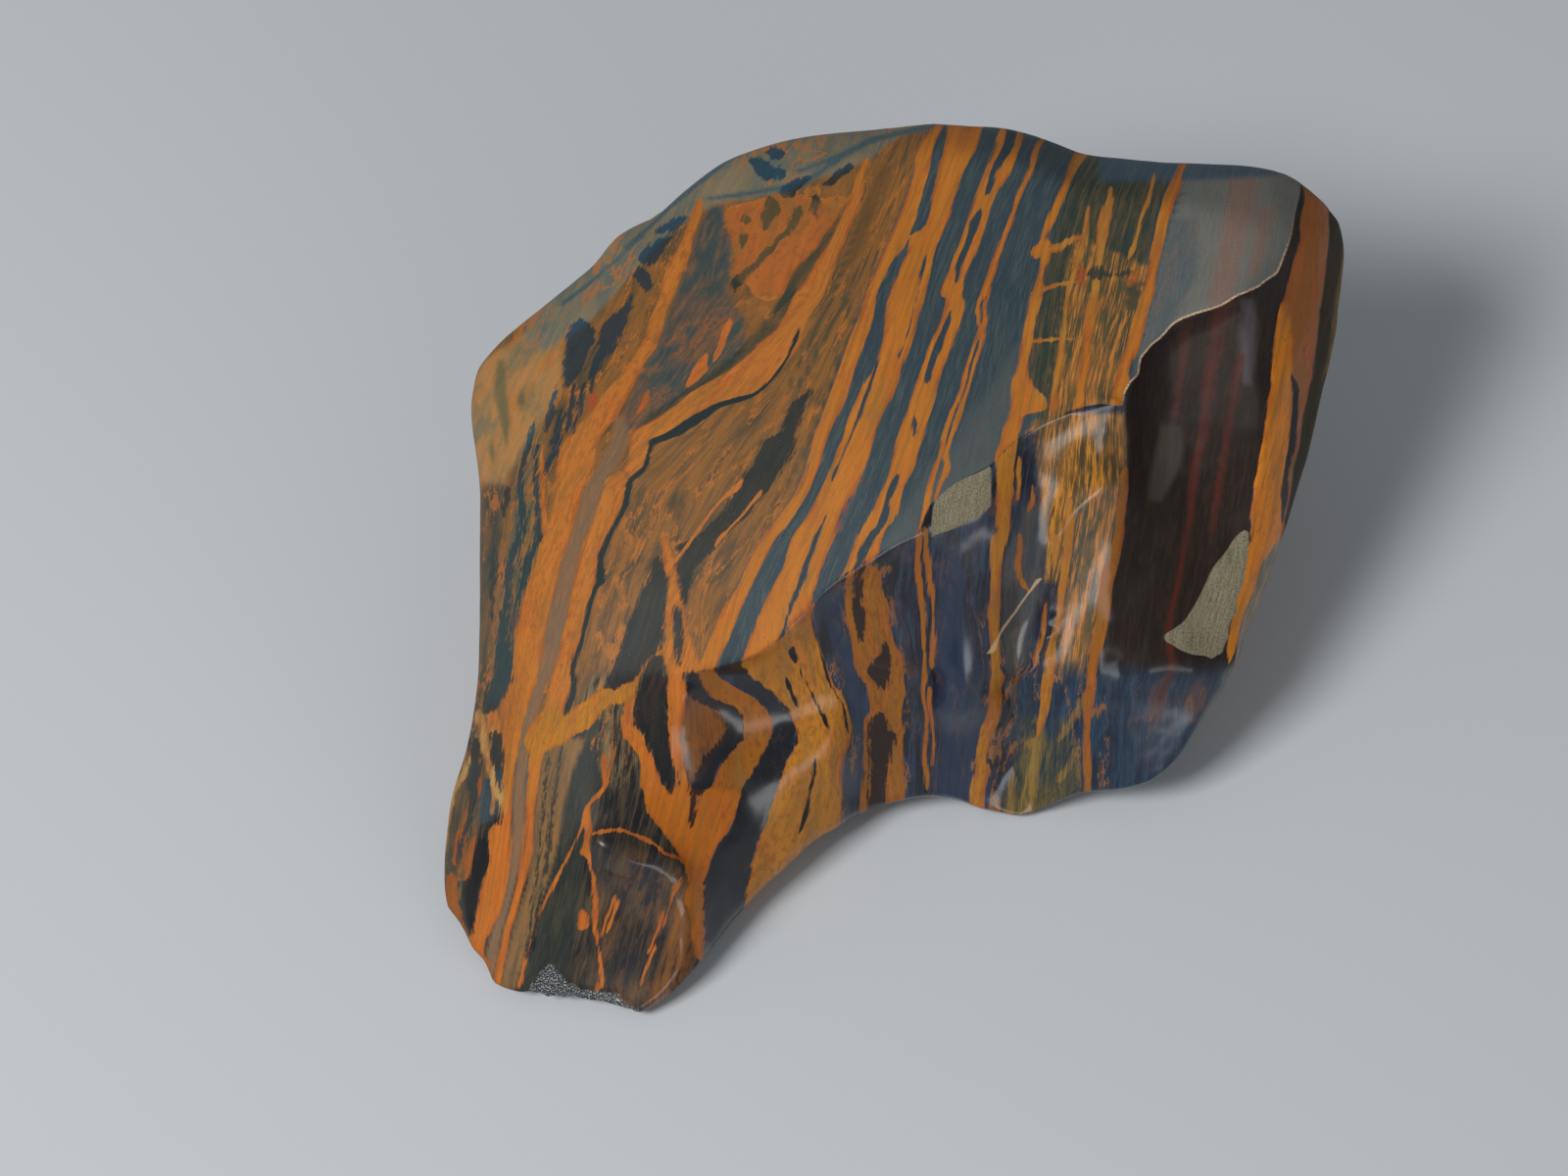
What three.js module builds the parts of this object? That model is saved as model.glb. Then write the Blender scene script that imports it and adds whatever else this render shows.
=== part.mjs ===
import * as THREE from "three";

// Rough tiger iron: one lump of banded stone, broken in scoops and then polished.
// It rests on a broad flat underside, with its broad face up and its foot to the front.
//
// The stone is drawn on a sheet that faces a viewing point EYE away. A point of the sheet is
// [x, y], and lift is the way from the sheet towards the viewing point. The front of the stone
// is one height over the sheet and its back another, and the two meet at the rim. All sizes
// are millimetres.

// ---- driving dimensions ------------------------------------------------------------------
const EYE = 450; // from the viewing point to the sheet
const LEAN = THREE.MathUtils.degToRad(35); // how far the sheet is turned up from lying level
const FLOOR_DROP = 22; // height of the sheet's middle over the resting plane

const RIM_ROUND = 1.1; // rounding radius where front and back meet
const FACE_BLEND = 1.6; // how softly the broad face runs into the bevel round it
const BACK_BLEND = 2.4; // how softly the broken flats of the back meet
const FLOOR_BLEND = 1.4; // how softly the back runs into the resting flat
const LUMPS_START = 4; // how far in from the rim the lumps of the back reach their full height
const FLAT_LUMPS = 0.6; // share of the lumps that the broken flats carry
const SCARP_REACH = 1.3; // how far the steep lip under the main ridge reaches out
const SEAM_BLEND = 1.5; // half width over which the foot's top becomes the front

const FACE_COUNT_STEP = 21; // how finely the starting ball is cut
const RELAX_ROUNDS = 120; // rounds that even out the mesh
const FOOT_TOP = -14; // below this height of the sheet the foot is broken all round
const FINENESS = { front: 3.2, broad: 0.8, back: 0.7 }; // share of the mesh each side draws
const FINENESS_EVERY = 10; // rounds between two readings of the fineness
const SNAP_DISTANCE = 0.9; // a corner of the mesh this near to a sharp line moves onto it
const BALL_CENTRE = new THREE.Vector3(5, 5, -9); // point in the stone that sees all its skin
const BALL_SPREAD = new THREE.Vector3(46, 46, 20); // rough half sizes of the stone
const SKIN_ERROR = 0.004; // how closely a corner is brought to the skin
const PAST_RIM_SLOPE = 2; // how fast front and back part company beyond the rim
const NET = { left: -44, right: 66, bottom: -52, top: 56, step: 0.5 };
const NET_EDGE = 1.001; // keeps a reading inside the last square of the net
const RIGHT_OF_STONE = 70; // the front runs out past the stone to here
const RIDGE_RUNS_OUT = [53.2, 50]; // past the rim the ridge would run out this way
const UNDER_STONE = -60;

// Search along a ray for the skin: first steps in and out, and the shortest reach tried.
const SEARCH = { in: 0.93, out: 1.07, stepIn: 0.85, stepOut: 1.2, shortest: 0.5 };
// Choice between two cuts of a pair of faces: price of a gap to the skin and of a thin face,
// the least gain worth a turn, and how far the two new faces may be folded.
const TURN = { gapPrice: 1.6, thinPrice: 0.25, thinnest: 0.01, leastGain: 0.02, leastFold: 0.2 };
const FIRST_TURNS = 4;
const LAST_TURNS = 3;
const RELAX_AFTER_TURNS = 4; // rounds
const FLOOR_SNAP = 0.002; // a corner this near the resting plane lies on it
const CORNER_MERGE = 1e5; // corners of the ball are compared to one part in this many

// Lumps of the broken back: two crossing waves of each length. Turns are radians per mm.
const LONG_LUMPS = { height: 0.9, first: [0.17, 0.11, 0.6], second: [-0.07, 0.13, 1.1] };
const SHORT_LUMPS = { height: 0.35, first: [0.41, -0.23, 0], second: [0.19, 0.37, 2] };

// ---- the rim: x, y, lift, slope of the bevel in front, slope of the back -------------------
const RIM = [
  [14.3, 47.5, -7.0, 2.0, 1.2],
  [23.2, 47.0, -7.0, 2.0, 1.2],
  [25.8, 46.2, -7.0, 2.0, 1.2],
  [30.2, 44.4, -7.0, 2.0, 1.1],
  [38.5, 43.5, -7.0, 2.0, 1.0],
  [51.0, 43.2, -7.0, 1.6, 1.2],
  [55.1, 40.5, -8.0, 1.5, 1.6],
  [57.3, 37.0, -8.5, 1.5, 2.0],
  [57.3, 34.4, -8.5, 1.5, 2.0],
  [56.3, 26.1, -8.5, 1.4, 2.0],
  [55.2, 21.0, -8.2, 1.4, 1.9],
  [53.8, 14.6, -7.8, 1.4, 1.8],
  [51.9, 8.3, -7.2, 1.5, 1.7],
  [49.4, 0.6, -6.4, 1.6, 1.6],
  [45.5, -8.3, -5.2, 1.8, 1.4],
  [43.0, -12.8, -4.8, 2.0, 1.2],
  [41.1, -16.6, -4.8, 2.2, 1.0],
  [39.5, -18.5, -5.0, 2.4, 1.0],
  [37.3, -20.0, -5.6, 2.6, 1.0],
  [34.1, -20.7, -6.6, 2.8, 1.0],
  [30.9, -20.7, -7.6, 2.8, 1.0],
  [29.0, -21.4, -8.4, 2.8, 1.0],
  [25.8, -22.8, -9.3, 2.8, 1.0],
  [23.9, -23.4, -9.8, 2.8, 1.0],
  [21.3, -23.0, -9.5, 2.8, 1.0],
  [18.1, -21.7, -8.6, 2.8, 1.0],
  [15.6, -21.2, -8.1, 2.8, 1.0],
  [13.0, -21.4, -8.0, 2.8, 1.0],
  [10.5, -21.9, -7.7, 2.8, 1.0],
  [7.9, -22.7, -7.0, 2.8, 1.0],
  [6.0, -24.1, -6.0, 2.8, 1.0],
  [3.5, -25.5, -5.0, 2.8, 1.0],
  [0.3, -28.4, -3.2, 2.6, 1.0],
  [-3.6, -31.9, -1.0, 2.6, 1.0],
  [-6.1, -35.1, 0.6, 2.6, 1.0],
  [-8.7, -38.6, 2.2, 2.6, 1.0],
  [-11.9, -41.8, 3.9, 2.6, 1.0],
  [-14.5, -43.8, 4.8, 2.6, 1.0],
  [-16.3, -43.1, 4.7, 3.0, 1.0],
  [-18.9, -42.0, 4.3, 3.0, 1.0],
  [-22.1, -42.0, 4.1, 3.0, 1.0],
  [-25.2, -41.6, 3.8, 3.0, 1.0],
  [-27.5, -41.3, 3.6, 3.0, 1.0],
  [-29.7, -40.5, 3.2, 2.6, 1.2],
  [-30.5, -38.0, 2.4, 2.0, 1.4],
  [-32.3, -36.4, 1.8, 1.8, 1.6],
  [-32.6, -34.3, 1.4, 1.6, 1.6],
  [-34.5, -33.2, 0.8, 1.4, 1.8],
  [-34.9, -30.0, 0.2, 1.4, 1.8],
  [-34.5, -24.9, -0.8, 1.4, 1.8],
  [-34.0, -21.1, -1.8, 1.4, 1.9],
  [-32.6, -17.2, -2.8, 1.6, 2.0],
  [-31.6, -12.8, -3.8, 2.0, 2.2],
  [-31.2, -8.0, -4.8, 2.2, 2.2],
  [-31.1, -2.0, -5.8, 2.2, 2.2],
  [-31.0, 5.0, -7.0, 2.0, 2.0],
  [-31.0, 10.0, -8.0, 1.8, 2.0],
  [-31.5, 14.0, -8.8, 1.6, 2.0],
  [-32.1, 18.0, -9.4, 1.5, 2.0],
  [-31.5, 22.3, -9.8, 1.5, 1.9],
  [-29.1, 25.2, -10.0, 1.6, 1.8],
  [-22.7, 30.3, -10.0, 1.7, 1.6],
  [-19.5, 32.8, -10.0, 1.7, 1.5],
  [-17.0, 36.0, -9.6, 1.7, 1.5],
  [-13.1, 37.9, -9.5, 1.6, 1.4],
  [-9.9, 40.8, -9.0, 1.4, 1.4],
  [-6.1, 43.7, -8.6, 1.3, 1.3],
  [-2.3, 45.1, -8.2, 1.3, 1.2],
  [2.8, 46.2, -7.7, 1.5, 1.2],
  [10.5, 46.9, -7.2, 1.8, 1.2],
];

// ---- the main ridge, from its tip over the foot to the upper right: x, y, drop of its lip --
const RIDGE = [
  [-11.0, -8.3, 0.0],
  [-9.4, -8.6, 1.2],
  [-6.7, -7.9, 3.0],
  [-4.1, -7.4, 3.6],
  [-2.7, -6.9, 3.6],
  [-0.6, -5.3, 3.4],
  [2.2, -2.3, 3.0],
  [4.4, -0.1, 2.6],
  [8.9, 2.8, 2.2],
  [12.0, 4.7, 1.6],
  [13.6, 5.4, 1.0],
  [14.8, 8.4, 0.5],
  [17.1, 10.5, 0.4],
  [21.0, 12.5, 0.5],
  [23.9, 15.3, 1.0],
  [26.8, 17.1, 1.2],
  [31.9, 18.7, 0.9],
  [34.6, 19.3, 1.2],
  [35.2, 20.2, 3.5],
  [36.2, 23.0, 4.4],
  [38.1, 25.7, 4.2],
  [41.5, 28.0, 3.2],
  [43.8, 28.7, 2.8],
  [46.3, 29.7, 2.6],
  [48.9, 31.0, 2.2],
  [50.5, 32.4, 1.6],
  [51.0, 33.7, 1.0],
  [52.2, 37.5, 0.5],
  [52.8, 41.7, 0.0],
];

// ---- the broad face and the top of the foot: x, y, lift ------------------------------------
const BROAD = [
  [54, 42, 1.0],
  [48, 36, 4.5],
  [44, 42, 1.5],
  [36, 40, 2.5],
  [38, 28, 7.8],
  [34, 21, 10.6],
  [25, 42, 1.5],
  [25, 28, 8.2],
  [24, 16, 12.6],
  [17, 45, -0.5],
  [15, 34, 4.6],
  [8, 44, -1.5],
  [12, 20, 10.8],
  [20, 12, 13.8],
  [0, 40, -0.5],
  [0, 28, 5.8],
  [0, 14, 10.8],
  [10, 8, 13.8],
  [2, 0, 13.6],
  [-10, 36, -2.6],
  [-12, 24, 3.8],
  [-12, 8, 9.8],
  [-4, -6, 12.9],
  [-11, -6, 12.3],
  [-20, 28, -3.2],
  [-22, 16, 2.6],
  [-22, 4, 6.8],
  [-20, -8, 9.8],
  [-30, 18, -5.2],
  [-30, 6, 0.6],
  [-30, -6, 3.8],
  [-29, -14, 5.4],
  [-12, -14, 10.2],
  [-10, -15, 9.6],
  [-20, -18, 9.9],
  [-13, -22, 9.0],
  [-10, -22, 8.2],
  [-9, -30, 7.0],
  [-6, -10, 12.6],
  [0, -8, 13.6],
  [6, -3, 14.3],
  [13, 3, 14.9],
  [-27, -22, 6.6],
  [-33, -24, 2.6],
  [-19.6, -26.4, 10.2],
  [-15, -27.8, 10.0],
  [-10.6, -31.0, 8.4],
  [-18, -31, 7.6],
  [-14, -35, 6.6],
  [-24, -31, 7.0],
  [-31, -32, 3.6],
  [-22, -39, 5.0],
  [-29, -39, 4.0],
  [-14.5, -42.5, 5.6],
];

// ---- the front below the main ridge: x, y, lift --------------------------------------------
const FRONT = [
  // the bent bands below the tip and the flank of the foot
  [-9, -11.5, 9.2],
  [-5, -10.5, 7.8],
  [-5, -14, 6.0],
  [-5, -20, 5.4],
  [-5, -26, 4.8],
  [-5, -32, 2.2],
  [-8, -36, 4.4],
  [-1, -9.5, 7.0],
  [0, -14, 4.2],
  [0, -20, 3.6],
  [0, -26, 0.8],
  [4, -6, 8.0],
  [5, -12, 3.4],
  [4.5, -17, 2.8],
  [4, -22, -0.6],
  // the front proper
  [8, -3, 8.8],
  [8, -9, 3.6],
  [8, -15, -0.6],
  [8, -20, -4.0],
  [12.5, 0, 10.2],
  [12.5, -6, 4.6],
  [12.5, -12, -0.4],
  [12.5, -18, -4.8],
  [18.5, 6.6, 12.8],
  [20.8, 9.0, 13.0],
  [19.5, 2.5, 10.4],
  [19, -3, 6.8],
  [18, -9, 2.0],
  [18, -15, -2.6],
  [19, -20, -6.4],
  [24, -20, -7.6],
  [24.5, -13, -3.4],
  [25, -6, 1.6],
  [24, 1, 7.4],
  [24, 8, 10.6],
  // the middle scoop
  [29, 15, 9.9],
  [33, 15, 9.3],
  [29, 10, 8.9],
  [34, 10.5, 8.2],
  [34.2, 17.5, 9.8],
  [30, 5, 7.0],
  [30, -1, 3.6],
  [30, -8, 0.4],
  [30.5, -15, -3.4],
  // the right scoop, its steep left wall and the shoulder below it
  [36.6, 17, 4.8],
  [36.9, 12, 3.4],
  [38, 20, 4.6],
  [39, 14, 2.2],
  [37, 5, 2.2],
  [38, -2, 1.0],
  [37, -7.5, 0.6],
  [37, -13, -1.8],
  [36, -18, -4.4],
  [42, 25, 4.6],
  [44, 19, 1.6],
  [44, 10, -0.6],
  [43, 2, -1.0],
  [42, -6, -0.8],
  [41, -11, -2.0],
  [49, 27, 3.6],
  [49, 19, 1.2],
  [48, 10, -0.8],
  [46, 1, -1.6],
  // the strip along the right edge
  [54, 38, 1.6],
  [54, 30, 1.0],
  [53, 22, 0.0],
  [51, 12, -1.4],
  [48.6, 4, -2.4],
];

// ---- ribs and hollows that run down the front: ends, height, half width ----------------------
const RIBS = [
  { from: [20.8, 4.5], to: [17.6, -11], height: 0.9, width: 2.2 },
  { from: [24.4, -1], to: [23.2, -20], height: -1.6, width: 1.8 },
  { from: [33.4, 3], to: [31.4, -12], height: 0.7, width: 1.6 },
  { from: [13.4, 2], to: [14.6, -14], height: -0.6, width: 1.6 },
  { from: [9.4, 0], to: [8.6, -16], height: 0.5, width: 1.6 },
  { from: [5.4, -13], to: [5.6, -19], height: 0.8, width: 1.7 },
  { from: [41.6, 24], to: [38.8, -5], height: 0.5, width: 1.8 },
  { from: [46.6, 26], to: [43.6, 2], height: 0.4, width: 1.8 },
  { from: [26.6, 8], to: [26.0, 0], height: -0.9, width: 1.6 },
];

// ---- sharp edges round the broken places: x, y, height along the path, and how far the edge
// reaches to the left and to the right of the path
const EDGES = [
  {
    // the crest over the broken toe
    path: [
      [-20.2, -26.6, 0.0],
      [-19.0, -26.2, 0.8],
      [-17.5, -26.6, 1.0],
      [-16.0, -27.7, 1.0],
      [-14.4, -27.9, 1.0],
      [-12.8, -28.3, 1.0],
      [-11.2, -29.6, 1.0],
      [-10.4, -31.2, 0.9],
      [-10.3, -34.0, 0.6],
      [-10.8, -38.0, 0.0],
    ],
    left: 2.2,
    right: 1.0,
  },
  {
    // the steep left wall of the right scoop
    path: [
      [34.9, 19.4, 0.0],
      [35.0, 17.4, 0.5],
      [35.2, 14.6, 0.7],
      [35.6, 12.2, 0.5],
      [36.4, 10.8, 0.0],
    ],
    left: 0.7,
    right: 1.6,
  },
  {
    // the lower edge of the middle scoop
    path: [
      [35.0, 11.4, 0.0],
      [33.0, 10.4, 0.4],
      [31.0, 9.2, 0.7],
      [29.2, 7.6, 0.8],
      [28.2, 5.6, 0.7],
      [26.6, 2.6, 0.0],
    ],
    left: 0.9,
    right: 2.0,
  },
  {
    // the sharp rib beside the deep hollow
    path: [
      [27.6, -3.8, 0.0],
      [26.6, -5.4, 0.9],
      [25.3, -7.6, 1.3],
      [24.6, -11.0, 1.3],
      [24.0, -14.4, 0.8],
      [23.8, -17.4, 0.0],
    ],
    left: 1.8,
    right: 0.8,
  },
  {
    // where the right scoop ends against the strip along the right edge
    path: [
      [50.8, 31.0, 0.0],
      [50.6, 28.0, 0.5],
      [50.1, 24.6, 0.8],
      [49.1, 16.6, 0.9],
      [48.0, 9.8, 0.9],
      [47.4, 4.7, 0.8],
      [46.4, 0.0, 0.5],
      [45.0, -4.6, 0.0],
    ],
    left: 2.5,
    right: 1.6,
  },
  {
    // the lower edge of the pale facet under the ridge
    path: [
      [15.2, 6.0, 0.0],
      [16.6, 6.5, 0.6],
      [18.7, 6.8, 0.8],
      [20.2, 7.6, 0.8],
      [21.4, 8.8, 0.5],
      [21.7, 10.4, 0.0],
    ],
    left: 2.2,
    right: 0.8,
  },
  {
    // the olive facet low in the right scoop
    path: [
      [46.0, 3.0, 0.0],
      [44.4, 1.2, 0.4],
      [42.6, -0.8, 0.6],
      [41.0, -3.2, 0.6],
      [40.4, -5.8, 0.4],
      [41.6, -7.4, 0.0],
    ],
    left: 2.0,
    right: 0.9,
  },
  {
    // the left side of the foot
    path: [
      [-30.8, -12.0, 0.0],
      [-30.4, -15.0, 0.6],
      [-29.8, -19.5, 0.8],
      [-29.4, -24.0, 0.7],
      [-30.0, -29.0, 0.5],
      [-30.6, -33.0, 0.0],
    ],
    left: 2.6,
    right: 1.2,
  },
];

// ---- flats broken off the back: the way each faces on the sheet, and its distance -----------
const BACK_FLATS = [
  { facing: [0.45, 0.62, -0.64], reach: 53.5 },
  { facing: [-0.55, 0.5, -0.67], reach: 36.0 },
  { facing: [0.72, -0.1, -0.69], reach: 45.0 },
  { facing: [0.05, 0.78, -0.62], reach: 43.5 },
];

// ---- helpers ---------------------------------------------------------------------------------
function solveLinear(rows) {
  const size = rows.length;
  for (let pivot = 0; pivot < size; pivot += 1) {
    let best = pivot;
    for (let row = pivot + 1; row < size; row += 1) {
      if (Math.abs(rows[row][pivot]) > Math.abs(rows[best][pivot])) best = row;
    }
    [rows[pivot], rows[best]] = [rows[best], rows[pivot]];
    for (let row = pivot + 1; row < size; row += 1) {
      const share = rows[row][pivot] / rows[pivot][pivot];
      for (let column = pivot; column <= size; column += 1) {
        rows[row][column] -= share * rows[pivot][column];
      }
    }
  }
  const answer = new Array(size).fill(0);
  for (let row = size - 1; row >= 0; row -= 1) {
    let rest = rows[row][size];
    for (let column = row + 1; column < size; column += 1) rest -= rows[row][column] * answer[column];
    answer[row] = rest / rows[row][row];
  }
  return answer;
}

function plateBend(squared) {
  return squared > 0 ? squared * Math.log(squared) : 0;
}

// A thin bent plate through all the points: the smoothest height that passes each of them.
function bentPlate(points) {
  const rows = points.map(([x, y, lift]) => {
    const bends = points.map(([px, py]) => plateBend((x - px) ** 2 + (y - py) ** 2));
    return [...bends, 1, x, y, lift];
  });
  const zeros = [0, 0, 0, 0];
  rows.push([...points.map(() => 1), ...zeros]);
  rows.push([...points.map(([x]) => x), ...zeros]);
  rows.push([...points.map(([, y]) => y), ...zeros]);
  const weights = solveLinear(rows);
  const [level, alongX, alongY] = weights.slice(points.length);
  return (x, y) => {
    let lift = level + alongX * x + alongY * y;
    points.forEach(([px, py], index) => {
      lift += weights[index] * plateBend((x - px) ** 2 + (y - py) ** 2);
    });
    return lift;
  };
}

// The nearest place on a chain of points, with the values after x and y blended along it.
function nearestOn(chain, closed, x, y) {
  const found = { distance: Infinity, onLeft: false, x: 0, y: 0, values: [] };
  const last = closed ? chain.length : chain.length - 1;
  let bestIndex = 0;
  let bestShare = 0;
  for (let index = 0; index < last; index += 1) {
    const start = chain[index];
    const end = chain[(index + 1) % chain.length];
    const runX = end[0] - start[0];
    const runY = end[1] - start[1];
    const along = ((x - start[0]) * runX + (y - start[1]) * runY) / (runX ** 2 + runY ** 2);
    const share = THREE.MathUtils.clamp(along, 0, 1);
    const distance = Math.hypot(x - start[0] - share * runX, y - start[1] - share * runY);
    if (distance < found.distance) {
      found.distance = distance;
      bestIndex = index;
      bestShare = share;
    }
  }
  const start = chain[bestIndex];
  const end = chain[(bestIndex + 1) % chain.length];
  const blended = start.map((value, column) => value + bestShare * (end[column] - value));
  const turn = (end[0] - start[0]) * (y - start[1]) - (end[1] - start[1]) * (x - start[0]);
  found.onLeft = turn > 0;
  [found.x, found.y] = blended;
  found.values = blended.slice(2);
  return found;
}

function isInside(loop, x, y) {
  let inside = false;
  loop.forEach(([ax, ay], index) => {
    const [bx, by] = loop[(index + 1) % loop.length];
    const crosses = (ay > y) !== (by > y);
    if (crosses && x < ax + ((y - ay) * (bx - ax)) / (by - ay)) inside = !inside;
  });
  return inside;
}

function softMin(a, b, reach) {
  const share = THREE.MathUtils.clamp(0.5 + (b - a) / (2 * reach), 0, 1);
  return b + share * (a - b) - reach * share * (1 - share);
}

function softMax(a, b, reach) {
  return -softMin(-a, -b, reach);
}

// ---- the front of the stone --------------------------------------------------------------------
const broadSheet = bentPlate(BROAD);

// The seam runs down the foot from the ridge's tip, where front and foot are one surface.
const SEAM = [
  [-11.0, -8.3],
  [-11.3, -11],
  [-11.6, -14],
  [-11.8, -17.5],
  [-11.8, -21],
  [-11.5, -25],
  [-10.9, -29],
  [-10.4, -33],
  [-10.2, -37],
  [-10.0, -41],
  [-10.0, -48],
];
const FRONT_LOOP = [
  ...RIDGE,
  RIDGE_RUNS_OUT,
  [RIGHT_OF_STONE, RIDGE_RUNS_OUT[1]],
  [RIGHT_OF_STONE, UNDER_STONE],
  ...[...SEAM].reverse(),
];

const ridgeFoot = RIDGE.map(([x, y, drop]) => [x, y, broadSheet(x, y) - drop]);
const seamRows = SEAM.slice(1).flatMap(([x, y]) => [
  [x - SEAM_BLEND, y, broadSheet(x - SEAM_BLEND, y)],
  [x + SEAM_BLEND, y, broadSheet(x + SEAM_BLEND, y)],
]);
const frontSheet = bentPlate([...ridgeFoot, ...seamRows, ...FRONT]);

function ribsAt(x, y) {
  let lift = 0;
  RIBS.forEach(({ from, to, height, width }) => {
    const near = nearestOn([from, to], false, x, y);
    lift += height * Math.exp(-((near.distance / width) ** 2));
  });
  return lift;
}

function edgesAt(x, y) {
  let lift = 0;
  EDGES.forEach(({ path, left, right }) => {
    const near = nearestOn(path, false, x, y);
    lift += near.values[0] * Math.exp(-near.distance / (near.onLeft ? left : right));
  });
  return lift;
}

function frontLift(x, y, rim) {
  const broad = broadSheet(x, y);
  let lift = broad;
  if (isInside(FRONT_LOOP, x, y)) {
    const ridge = nearestOn(RIDGE, false, x, y);
    const lip = ridge.values[0] * Math.exp(-ridge.distance / SCARP_REACH);
    const fadeIn = 1 - Math.exp(-ridge.distance / SCARP_REACH);
    const front = frontSheet(x, y) + lip + fadeIn * ribsAt(x, y);
    const seam = nearestOn(SEAM, false, x, y);
    const share = THREE.MathUtils.smoothstep(seam.distance, 0, SEAM_BLEND);
    lift = broad + share * (front - broad);
  }
  lift += edgesAt(x, y);
  const [rimLift, bevelSlope] = rim.values;
  const run = bevelSlope * rim.distance;
  const bevel = rimLift + Math.sqrt(run * (run + 2 * RIM_ROUND * bevelSlope));
  return softMin(lift, bevel, FACE_BLEND);
}

// ---- the back and the underside ------------------------------------------------------------------
const leanCos = Math.cos(LEAN);
const leanSin = Math.sin(LEAN);

function floorLift(y) {
  return -(FLOOR_DROP + y * leanSin) / (leanCos - (y * leanSin) / EYE);
}

function lumpsAt({ height, first, second }, x, y) {
  const [wave, cross] = [first, second].map(([turnX, turnY, start]) =>
    Math.sin(turnX * x + turnY * y + start),
  );
  return height * wave * cross;
}

function backLumps(x, y) {
  return lumpsAt(LONG_LUMPS, x, y) + lumpsAt(SHORT_LUMPS, x, y);
}

function backLift(x, y, rim) {
  const [rimLift, , backSlope] = rim.values;
  const run = backSlope * rim.distance;
  const lumps = (1 - Math.exp(-rim.distance / LUMPS_START)) * backLumps(x, y);
  let lift = rimLift - Math.sqrt(run * (run + 2 * RIM_ROUND * backSlope)) + lumps;
  BACK_FLATS.forEach(({ facing, reach }) => {
    const [fx, fy, fl] = facing;
    const flat = (reach - fx * x - fy * y) / fl;
    lift = softMax(lift, flat + FLAT_LUMPS * lumps, BACK_BLEND);
  });
  return softMax(lift, floorLift(y), FLOOR_BLEND);
}

// Front and back height at a place; past the rim they cross, so nothing is left between them.
function skinAt(x, y) {
  const rim = nearestOn(RIM, true, x, y);
  if (isInside(RIM, x, y)) return [frontLift(x, y, rim), backLift(x, y, rim)];
  const past = PAST_RIM_SLOPE * rim.distance;
  return [rim.values[0] - past, rim.values[0] + past];
}

// How fine the mesh should be: finest on the broken front, coarsest underneath.
function finenessAt(point) {
  const [front, back] = skinAt(point.x, point.y);
  if (point.z < (front + back) / 2) return FINENESS.back;
  const isBroken = point.y < FOOT_TOP || isInside(FRONT_LOOP, point.x, point.y);
  return isBroken ? FINENESS.front : FINENESS.broad;
}

function isOutside(point) {
  const [front, back] = skinAt(point.x, point.y);
  return point.z > front || point.z < back;
}

// The same two heights read from a square net, which is quick enough for evening out the mesh.
const netColumns = Math.ceil((NET.right - NET.left) / NET.step) + 1;
const netRows = Math.ceil((NET.top - NET.bottom) / NET.step) + 1;
const net = Array.from({ length: netColumns * netRows }, (_, index) => {
  const column = index % netColumns;
  const row = Math.floor(index / netColumns);
  return skinAt(NET.left + column * NET.step, NET.bottom + row * NET.step);
});

function gapToNet(point) {
  const across = THREE.MathUtils.clamp((point.x - NET.left) / NET.step, 0, netColumns - NET_EDGE);
  const up = THREE.MathUtils.clamp((point.y - NET.bottom) / NET.step, 0, netRows - NET_EDGE);
  const first = Math.floor(up) * netColumns + Math.floor(across);
  const s = across % 1;
  const t = up % 1;
  const [front, back] = [0, 1].map((side) => {
    const lower = net[first][side] * (1 - s) + net[first + 1][side] * s;
    const upper = net[first + netColumns][side] * (1 - s) + net[first + netColumns + 1][side] * s;
    return lower * (1 - t) + upper * t;
  });
  return Math.max(point.z - front, back - point.z);
}

// ---- the mesh ------------------------------------------------------------------------------------
function ballMesh() {
  const ball = new THREE.IcosahedronGeometry(1, FACE_COUNT_STEP);
  const raw = ball.getAttribute("position");
  const corners = [];
  const known = new Map();
  const ids = [];
  for (let index = 0; index < raw.count; index += 1) {
    const corner = new THREE.Vector3().fromBufferAttribute(raw, index);
    const key = corner.toArray().map((value) => Math.round(value * CORNER_MERGE)).join(" ");
    if (!known.has(key)) {
      known.set(key, corners.length);
      corners.push(corner);
    }
    ids.push(known.get(key));
  }
  const faces = [];
  for (let index = 0; index < ids.length; index += 3) faces.push(ids.slice(index, index + 3));
  return { corners, faces };
}

function toSkin(direction, guess, isOut) {
  const point = new THREE.Vector3();
  let near = guess * SEARCH.in;
  let far = guess * SEARCH.out;
  const at = (reach) => isOut(point.copy(direction).multiplyScalar(reach).add(BALL_CENTRE));
  while (at(near) && near > SEARCH.shortest) near *= SEARCH.stepIn;
  while (!at(far)) far *= SEARCH.stepOut;
  while (far - near > SKIN_ERROR) {
    const middle = (near + far) / 2;
    if (at(middle)) far = middle;
    else near = middle;
  }
  return point.copy(direction).multiplyScalar((near + far) / 2).add(BALL_CENTRE).clone();
}

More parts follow.
